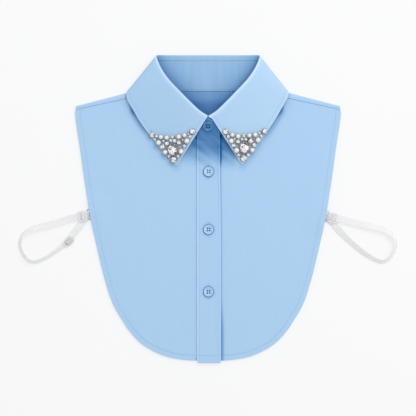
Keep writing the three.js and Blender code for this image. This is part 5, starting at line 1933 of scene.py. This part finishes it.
class BIB_OT_stones(bpy.types.Operator):
    """Crystals in their claws and pearls, sewn to the collar's points"""
    bl_idname = "bib.stones"
    bl_label = "Stones"

    def execute(self, context):
        trim = context.scene.bib_trim
        gems = [gem_shape(seed) for seed in (3, 8, 21)]
        cups = {"oval": cup_shape(8), "crystal": cup_shape(4)}
        ball = ball_shape()
        metal = glossy_material("setting_metal", trim.setting_color, 0.22, 900, metallic=1.0)
        # Crystals painted with glints, facet by facet
        glinting_crystal = crystal_material("foiled_crystal", (0.055, 0.047, 0.04), (1.0, 0.98, 0.96))
        clear = crystal_material("clear_stone", (0.3, 0.42, 0.52), (0.9, 0.97, 1.0))
        leaf = surface_of("collar_leaf_cloth")
        chance = random.Random(5)
        for side, sign in SIGNS.items():
            spots = self.spots(side, sign, leaf, chance)
            cut = [name for name in frame["nodes"]
                   if name.startswith(("crystal_" + side, "oval_" + side))]
            pearls = [name for name in frame["nodes"] if name.startswith("pearl_" + side)]
            for k, gem in enumerate(gems):
                chosen = spots["crystal"][k::3] + (spots["oval"] if k == 2 else [])
                piece = set_on_points(f"crystals_{side}_{k + 1}", gem, chosen, glinting_crystal)
                finish_piece(piece, None, cut if k == 0 else ())
            held = spots["crystal"] + spots["clear"]
            for name, shape, places, material in (
                    ("clear_stones_", gems[0], spots["clear"], clear),
                    ("stone_cups_", cups["crystal"], held, metal),
                    ("oval_cup_", cups["oval"], spots["oval"], metal)):
                finish_piece(set_on_points(name + side, shape, places, material), None)
            piece = set_on_points("pearls_" + side, ball, spots["pearl"], pearl_material())
            finish_piece(piece, None, pearls)
        for shape in (*gems, *cups.values(), ball):
            bpy.data.objects.remove(shape)
        return {"FINISHED"}

    def spots(self, side, sign, leaf, chance):
        """Where the stones of each kind go: a point, a turn and a size for each."""
        tip_x, tip_y = STONE_TIPS[side]
        spots = {kind: [] for kind in STONE_SWELL}
        for kind, across, up, size in STONE_ROWS[side]:
            x = sign * (tip_x + CLUSTER_OUT + across * CLUSTER_WIDTH)
            y = CLUSTER_UP - tip_y + up * CLUSTER_WIDTH
            point, normal = seat_on(leaf, x, y)
            spin = 0 if kind == "oval" else chance.uniform(0, 2 * math.pi)
            turn = UP.rotation_difference(normal) @ Quaternion(UP, spin)
            wide = size * MAIN_STONE_LENGTH * MM * STONE_SWELL[kind]
            share = MAIN_STONE_SHARE if kind == "oval" else 1
            seat = point + normal * 0.02 * MM
            shape = (wide * share, wide, max(0.62 * wide, 2 * MM))
            if kind == "pearl":
                seat += normal * 0.1 * wide
                shape = (wide, wide, wide)
            spots[kind].append((seat, turn.to_euler(), shape))
        return spots


class BIB_OT_loops(bpy.types.Operator):
    """Elastic side loops and the short tabs that hold the rings"""
    bl_idname = "bib.loops"
    bl_label = "Side Loops"

    def execute(self, context):
        for side in SIGNS:
            piece = tape_piece("elastic_loop_" + side, tape_frames(side))
            finish_piece(piece, elastic_material(), ["strap_loop_" + side])
            low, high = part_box("ring_tab_" + side)
            middle = ((low + high) / 2 - SHIFT) / MM
            slope = -SIGNS[side] * STRAP_SLOPE
            along = Vector((math.cos(slope), math.sin(slope), 0))
            across = Vector((-along.y, along.x, 0))
            frames = [(middle + along * RING_TAB_LENGTH * (k / 12 - 0.5), across, UP)
                      for k in range(13)]
            tab = tape_piece("elastic_tab_" + side, frames)
            finish_piece(tab, elastic_material(), ["ring_tab_" + side])
        rise = STRAP_WALL + SLIDER_WALL + GAP
        at = round(ADJUSTER_AT * TAPE_STEPS)
        folded = [(place + off * rise * math.sin(math.pi * k / 11) ** 0.4, across, off)
                  for k, (place, across, off) in enumerate(tape_frames("left")[at - 5:at + 7])]
        end = tape_piece("elastic_folded_end", folded)
        finish_piece(end, elastic_material())
        return {"FINISHED"}


def loop_path(side):
    """The tape's centre and tilt through the slider, round the loop and under the hem."""
    sign = SIGNS[side]
    anchor = ANCHORS[side]

    def at(out, down, height, tilt):
        return Vector((anchor.x + sign * out, anchor.y - down, height)), math.radians(tilt)

    slope = math.tan(STRAP_SLOPE)
    passing = SLIDER_WALL / 2 + GAP + STRAP_WALL / 2
    on_ring = RING_OUT + (RING_LENGTH - RING_WIRE) / 2 - 1
    rows = [at(on_ring, on_ring * slope, RING_BASE + RING_WIRE + GAP + STRAP_WALL / 2, 0)]
    for bar in (-1, 0, 1):
        height = SLIDER_LEVEL + (passing if bar == 0 else -passing)
        for edge in (-BAR_CLEARANCE, BAR_CLEARANCE):
            out = SLIDER_OUT + bar * SLIDER_BAR_PITCH + edge * SLIDER_BAR
            rows.append(at(out, out * slope, height, 0))
    for out, down, tilt in LOOP_ROWS[side]:
        tilt *= TILT_EASE
        turn = math.radians(tilt)
        height = (STRAP_WIDTH * math.sin(turn) + STRAP_WALL * math.cos(turn)) / 2 + GAP / 2
        rows.append(at(out * LOOP_REACH, down * LOOP_DROP, height, tilt))
    low = STRAP_WALL / 2 + GAP / 3
    rows.append(at(0.105 * LOOP_REACH, 0.15 * LOOP_DROP, low + GAP / 3, 3))
    rows.append(at(0.05 * LOOP_REACH, 0.075 * LOOP_DROP, low, 0))
    rows.append(at(-0.5 * BACK_INSET, 0.01 * LOOP_DROP, low, 0))
    rows.append(at(-BACK_INSET + 2 * GAP, 0, low, 0))
    return rows


def tape_frames(side):
    """A loop's centre, the way across its tape and the way off its face, along its run."""
    rows = loop_path(side)
    centre = catmull_rom([place for place, _ in rows])
    hand = -SIGNS[side]
    last = len(rows) - 1
    frames = []
    for i in range(TAPE_STEPS + 1):
        share = i / TAPE_STEPS
        ahead = (centre(min(share + 0.004, 1)) - centre(max(share - 0.004, 0))).normalized()
        k = min(int(share * last), last - 1)
        tilt = mix(rows[k][1], rows[k + 1][1], share * last - k)
        inward = (UP.cross(ahead) * hand).normalized()
        across = Quaternion(ahead, hand * tilt) @ inward
        frames.append((centre(share), across, ahead.cross(across) * hand))
    return frames


def tape_piece(name, frames):
    """Woven tape with ribs along it and rounded edges, through frames in millimetres."""
    depth = bpy.context.scene.bib_trim.rib_depth / MM
    section = []
    for face in (1, -1):
        for k in range(TAPE_COLUMNS):
            u = mix(-0.5, 0.5, k / (TAPE_COLUMNS - 1)) * face
            edge = rounded_half((0.5 - abs(u)) * STRAP_WIDTH, STRAP_WALL / 2)
            rib = depth * (1 + math.cos(2 * math.pi * TAPE_RIBS * u)) if edge else 0
            section.append((u * STRAP_WIDTH, face * (edge - rib)))
    corners = []
    for run, (place, across, off) in zip(run_lengths([frame[0] for frame in frames]), frames):
        corners += [(place + across * u + off * height, (run, u), (NO_SEAM, run, 0, 0))
                    for u, height in section]
    count = len(section)
    rings = [range(i * count, (i + 1) * count) for i in range(len(frames))]
    faces = [face for last, ring in zip(rings, rings[1:]) for face in joined(last, ring)]
    return cloth_object(name, corners, [*faces, rings[0][::-1], rings[-1]])


class BIB_OT_hardware(bpy.types.Operator):
    """Plastic sliders and metal rings with round edges"""
    bl_idname = "bib.hardware"
    bl_label = "Sliders and Rings"

    def execute(self, context):
        trim = context.scene.bib_trim
        plastic = glossy_material(
            "slider_resin", trim.plastic_color, 0.32, 260, coat=0.2, contrast=0.03)
        metal = glossy_material("ring_steel", trim.ring_color, 0.36, 400, metallic=1.0)
        length = 2 * SLIDER_BAR_PITCH + SLIDER_BAR
        for side, sign in SIGNS.items():
            slope = -sign * STRAP_SLOPE
            ahead = Vector((math.cos(slope), math.sin(slope), 0))
            frame_of = (ahead, UP.cross(ahead), UP)
            node = "slider_" + side
            slider = frame_shape(node, on_strap(side, SLIDER_OUT, SLIDER_LEVEL), frame_of,
                                 (length, SLIDER_WIDTH), (SLIDER_BAR, SLIDER_WALL), 1.7, True)
            finish_piece(slider, plastic, [node])
            node = "ring_" + side
            ring = frame_shape(node, on_strap(side, RING_OUT, RING_BASE + RING_WIRE / 2), frame_of,
                               (RING_LENGTH, RING_WIDTH), (RING_WIRE, RING_WIRE), 2.6, False)
            finish_piece(ring, metal, [node])
        place, across, off = tape_frames("left")[round(ADJUSTER_AT * TAPE_STEPS)]
        place = place + off * ((STRAP_WALL + SLIDER_WALL) / 2 + GAP)
        place = place + across * ((ADJUSTER_WIDTH - STRAP_WIDTH) / 2 + GAP)
        adjuster = frame_shape("adjuster_left", place, (across.cross(off), across, off),
                               (2 * ADJUSTER_PITCH + SLIDER_BAR, ADJUSTER_WIDTH),
                               (SLIDER_BAR, SLIDER_WALL), 1.7, True)
        finish_piece(adjuster, plastic, ["adjuster_left"])
        return {"FINISHED"}


def on_strap(side, out, height):
    anchor = ANCHORS[side]
    return Vector((anchor.x + SIGNS[side] * out, anchor.y - out * math.tan(STRAP_SLOPE), height))


def frame_shape(name, centre, ways, size, wire, corner, barred):
    """A rounded frame of round-edged wire about a centre, with or without a bar across it."""
    ahead, across, off = ways
    wide, high = wire
    section = []
    for k in range(12):
        turn = 2 * math.pi * (k + 0.5) / 12
        section.append([math.copysign(abs(way) ** 0.7, way) * width / 2
                        for way, width in ((math.cos(turn), wide), (math.sin(turn), high))])
    inset = corner - wide / 2
    reach_x, reach_y = ((length - wide) / 2 - inset for length in size)
    path = []
    for quarter, (sign_x, sign_y) in enumerate(((1, 1), (-1, 1), (-1, -1), (1, -1))):
        for k in range(7):
            turn = math.pi / 2 * (quarter + k / 6)
            way = (math.cos(turn), math.sin(turn))
            path.append((sign_x * reach_x + way[0] * inset, sign_y * reach_y + way[1] * inset, way))
    count = len(path)
    if barred:
        path += [(0, y, (1, 0)) for y in (-(size[1] - wide) / 2, (size[1] - wide) / 2)]
    points = [in_frame(centre + ahead * (x + way[0] * along) + across * (y + way[1] * along)
                       + off * up)
              for x, y, way in path for along, up in section]
    rings = [range(k * len(section), (k + 1) * len(section)) for k in range(len(path))]
    faces = [face for k in range(count) for face in joined(rings[k], rings[(k + 1) % count])]
    if barred:
        faces += [*joined(*rings[count:]), rings[count], rings[-1][::-1]]
    mesh = bpy.data.meshes.new(name + "_piece")
    mesh.from_pydata(points, [], faces)
    turn_outward(mesh)
    mesh.shade_smooth()
    mesh.set_sharp_from_angle(angle=math.radians(60))
    return add_object(name + "_piece", mesh)


class BIB_OT_stage(bpy.types.Operator):
    """Camera straight above, pale floor and soft light"""
    bl_idname = "bib.stage"
    bl_label = "Stage"

    def execute(self, context):
        stage = context.scene.bib_stage
        camera = bpy.data.cameras.new("camera")
        camera.lens = stage.focal_length
        camera.sensor_width = 36
        camera.clip_end = 20
        eye = add_object("camera", camera)
        distance = stage.view_width * stage.focal_length / camera.sensor_width
        eye.location = VIEW_CENTRE + UP * distance
        context.scene.camera = eye

        floor = bpy.data.meshes.new("floor")
        corners = [(x * FLOOR_REACH, y * FLOOR_REACH, FLOOR_LEVEL)
                   for x, y in ((-1, -1), (1, -1), (1, 1), (-1, 1))]
        floor.from_pydata(corners, [], [(0, 1, 2, 3)])
        floor.materials.append(floor_material())
        add_object("floor", floor)

        light = bpy.data.lights.new("key", "AREA")
        light.energy = stage.key_strength
        light.size = KEY_SIZE
        lamp = add_object("key", light)
        lamp.location = KEY_PLACE
        lamp.rotation_euler = KEY_PLACE.to_track_quat("Z", "Y").to_euler()

        world = bpy.data.worlds.new("room")
        world.use_nodes = True
        background = world.node_tree.nodes["Background"]
        background.inputs["Color"].default_value = (0.98, 0.99, 1.0, 1)
        background.inputs["Strength"].default_value = stage.sky_strength
        context.scene.world = world
        context.scene.view_settings.view_transform = "Standard"
        return {"FINISHED"}


class BIB_PT_sidebar(bpy.types.Panel):
    bl_label = "Shirt Bib"
    bl_idname = "BIB_PT_sidebar"
    bl_space_type = "VIEW_3D"
    bl_region_type = "UI"
    bl_category = "Bib"

    def draw(self, context):
        layout = self.layout
        for group in (context.scene.bib_cloth, context.scene.bib_trim, context.scene.bib_stage):
            column = layout.column()
            for key in group.__annotations__:
                column.prop(group, key)
        for step in STEPS:
            layout.operator(step.bl_idname)


STEPS = (BIB_OT_stage, BIB_OT_back, BIB_OT_fronts, BIB_OT_placket, BIB_OT_collar, BIB_OT_buttons,
         BIB_OT_stitches, BIB_OT_stones, BIB_OT_loops, BIB_OT_hardware)
SETTINGS = {"bib_cloth": BibClothSettings, "bib_trim": BibTrimSettings, "bib_stage": BibStageSettings}
CLASSES = (*SETTINGS.values(), *STEPS, BIB_PT_sidebar)


def register():
    for item in CLASSES:
        bpy.utils.register_class(item)
    for name, group in SETTINGS.items():
        setattr(bpy.types.Scene, name, bpy.props.PointerProperty(type=group))


def unregister():
    for name in SETTINGS:
        delattr(bpy.types.Scene, name)
    for item in reversed(CLASSES):
        bpy.utils.unregister_class(item)


def main():
    register()
    for step in STEPS:
        family, name = step.bl_idname.split(".")
        getattr(getattr(bpy.ops, family), name)()


if __name__ == "__main__":
    main()
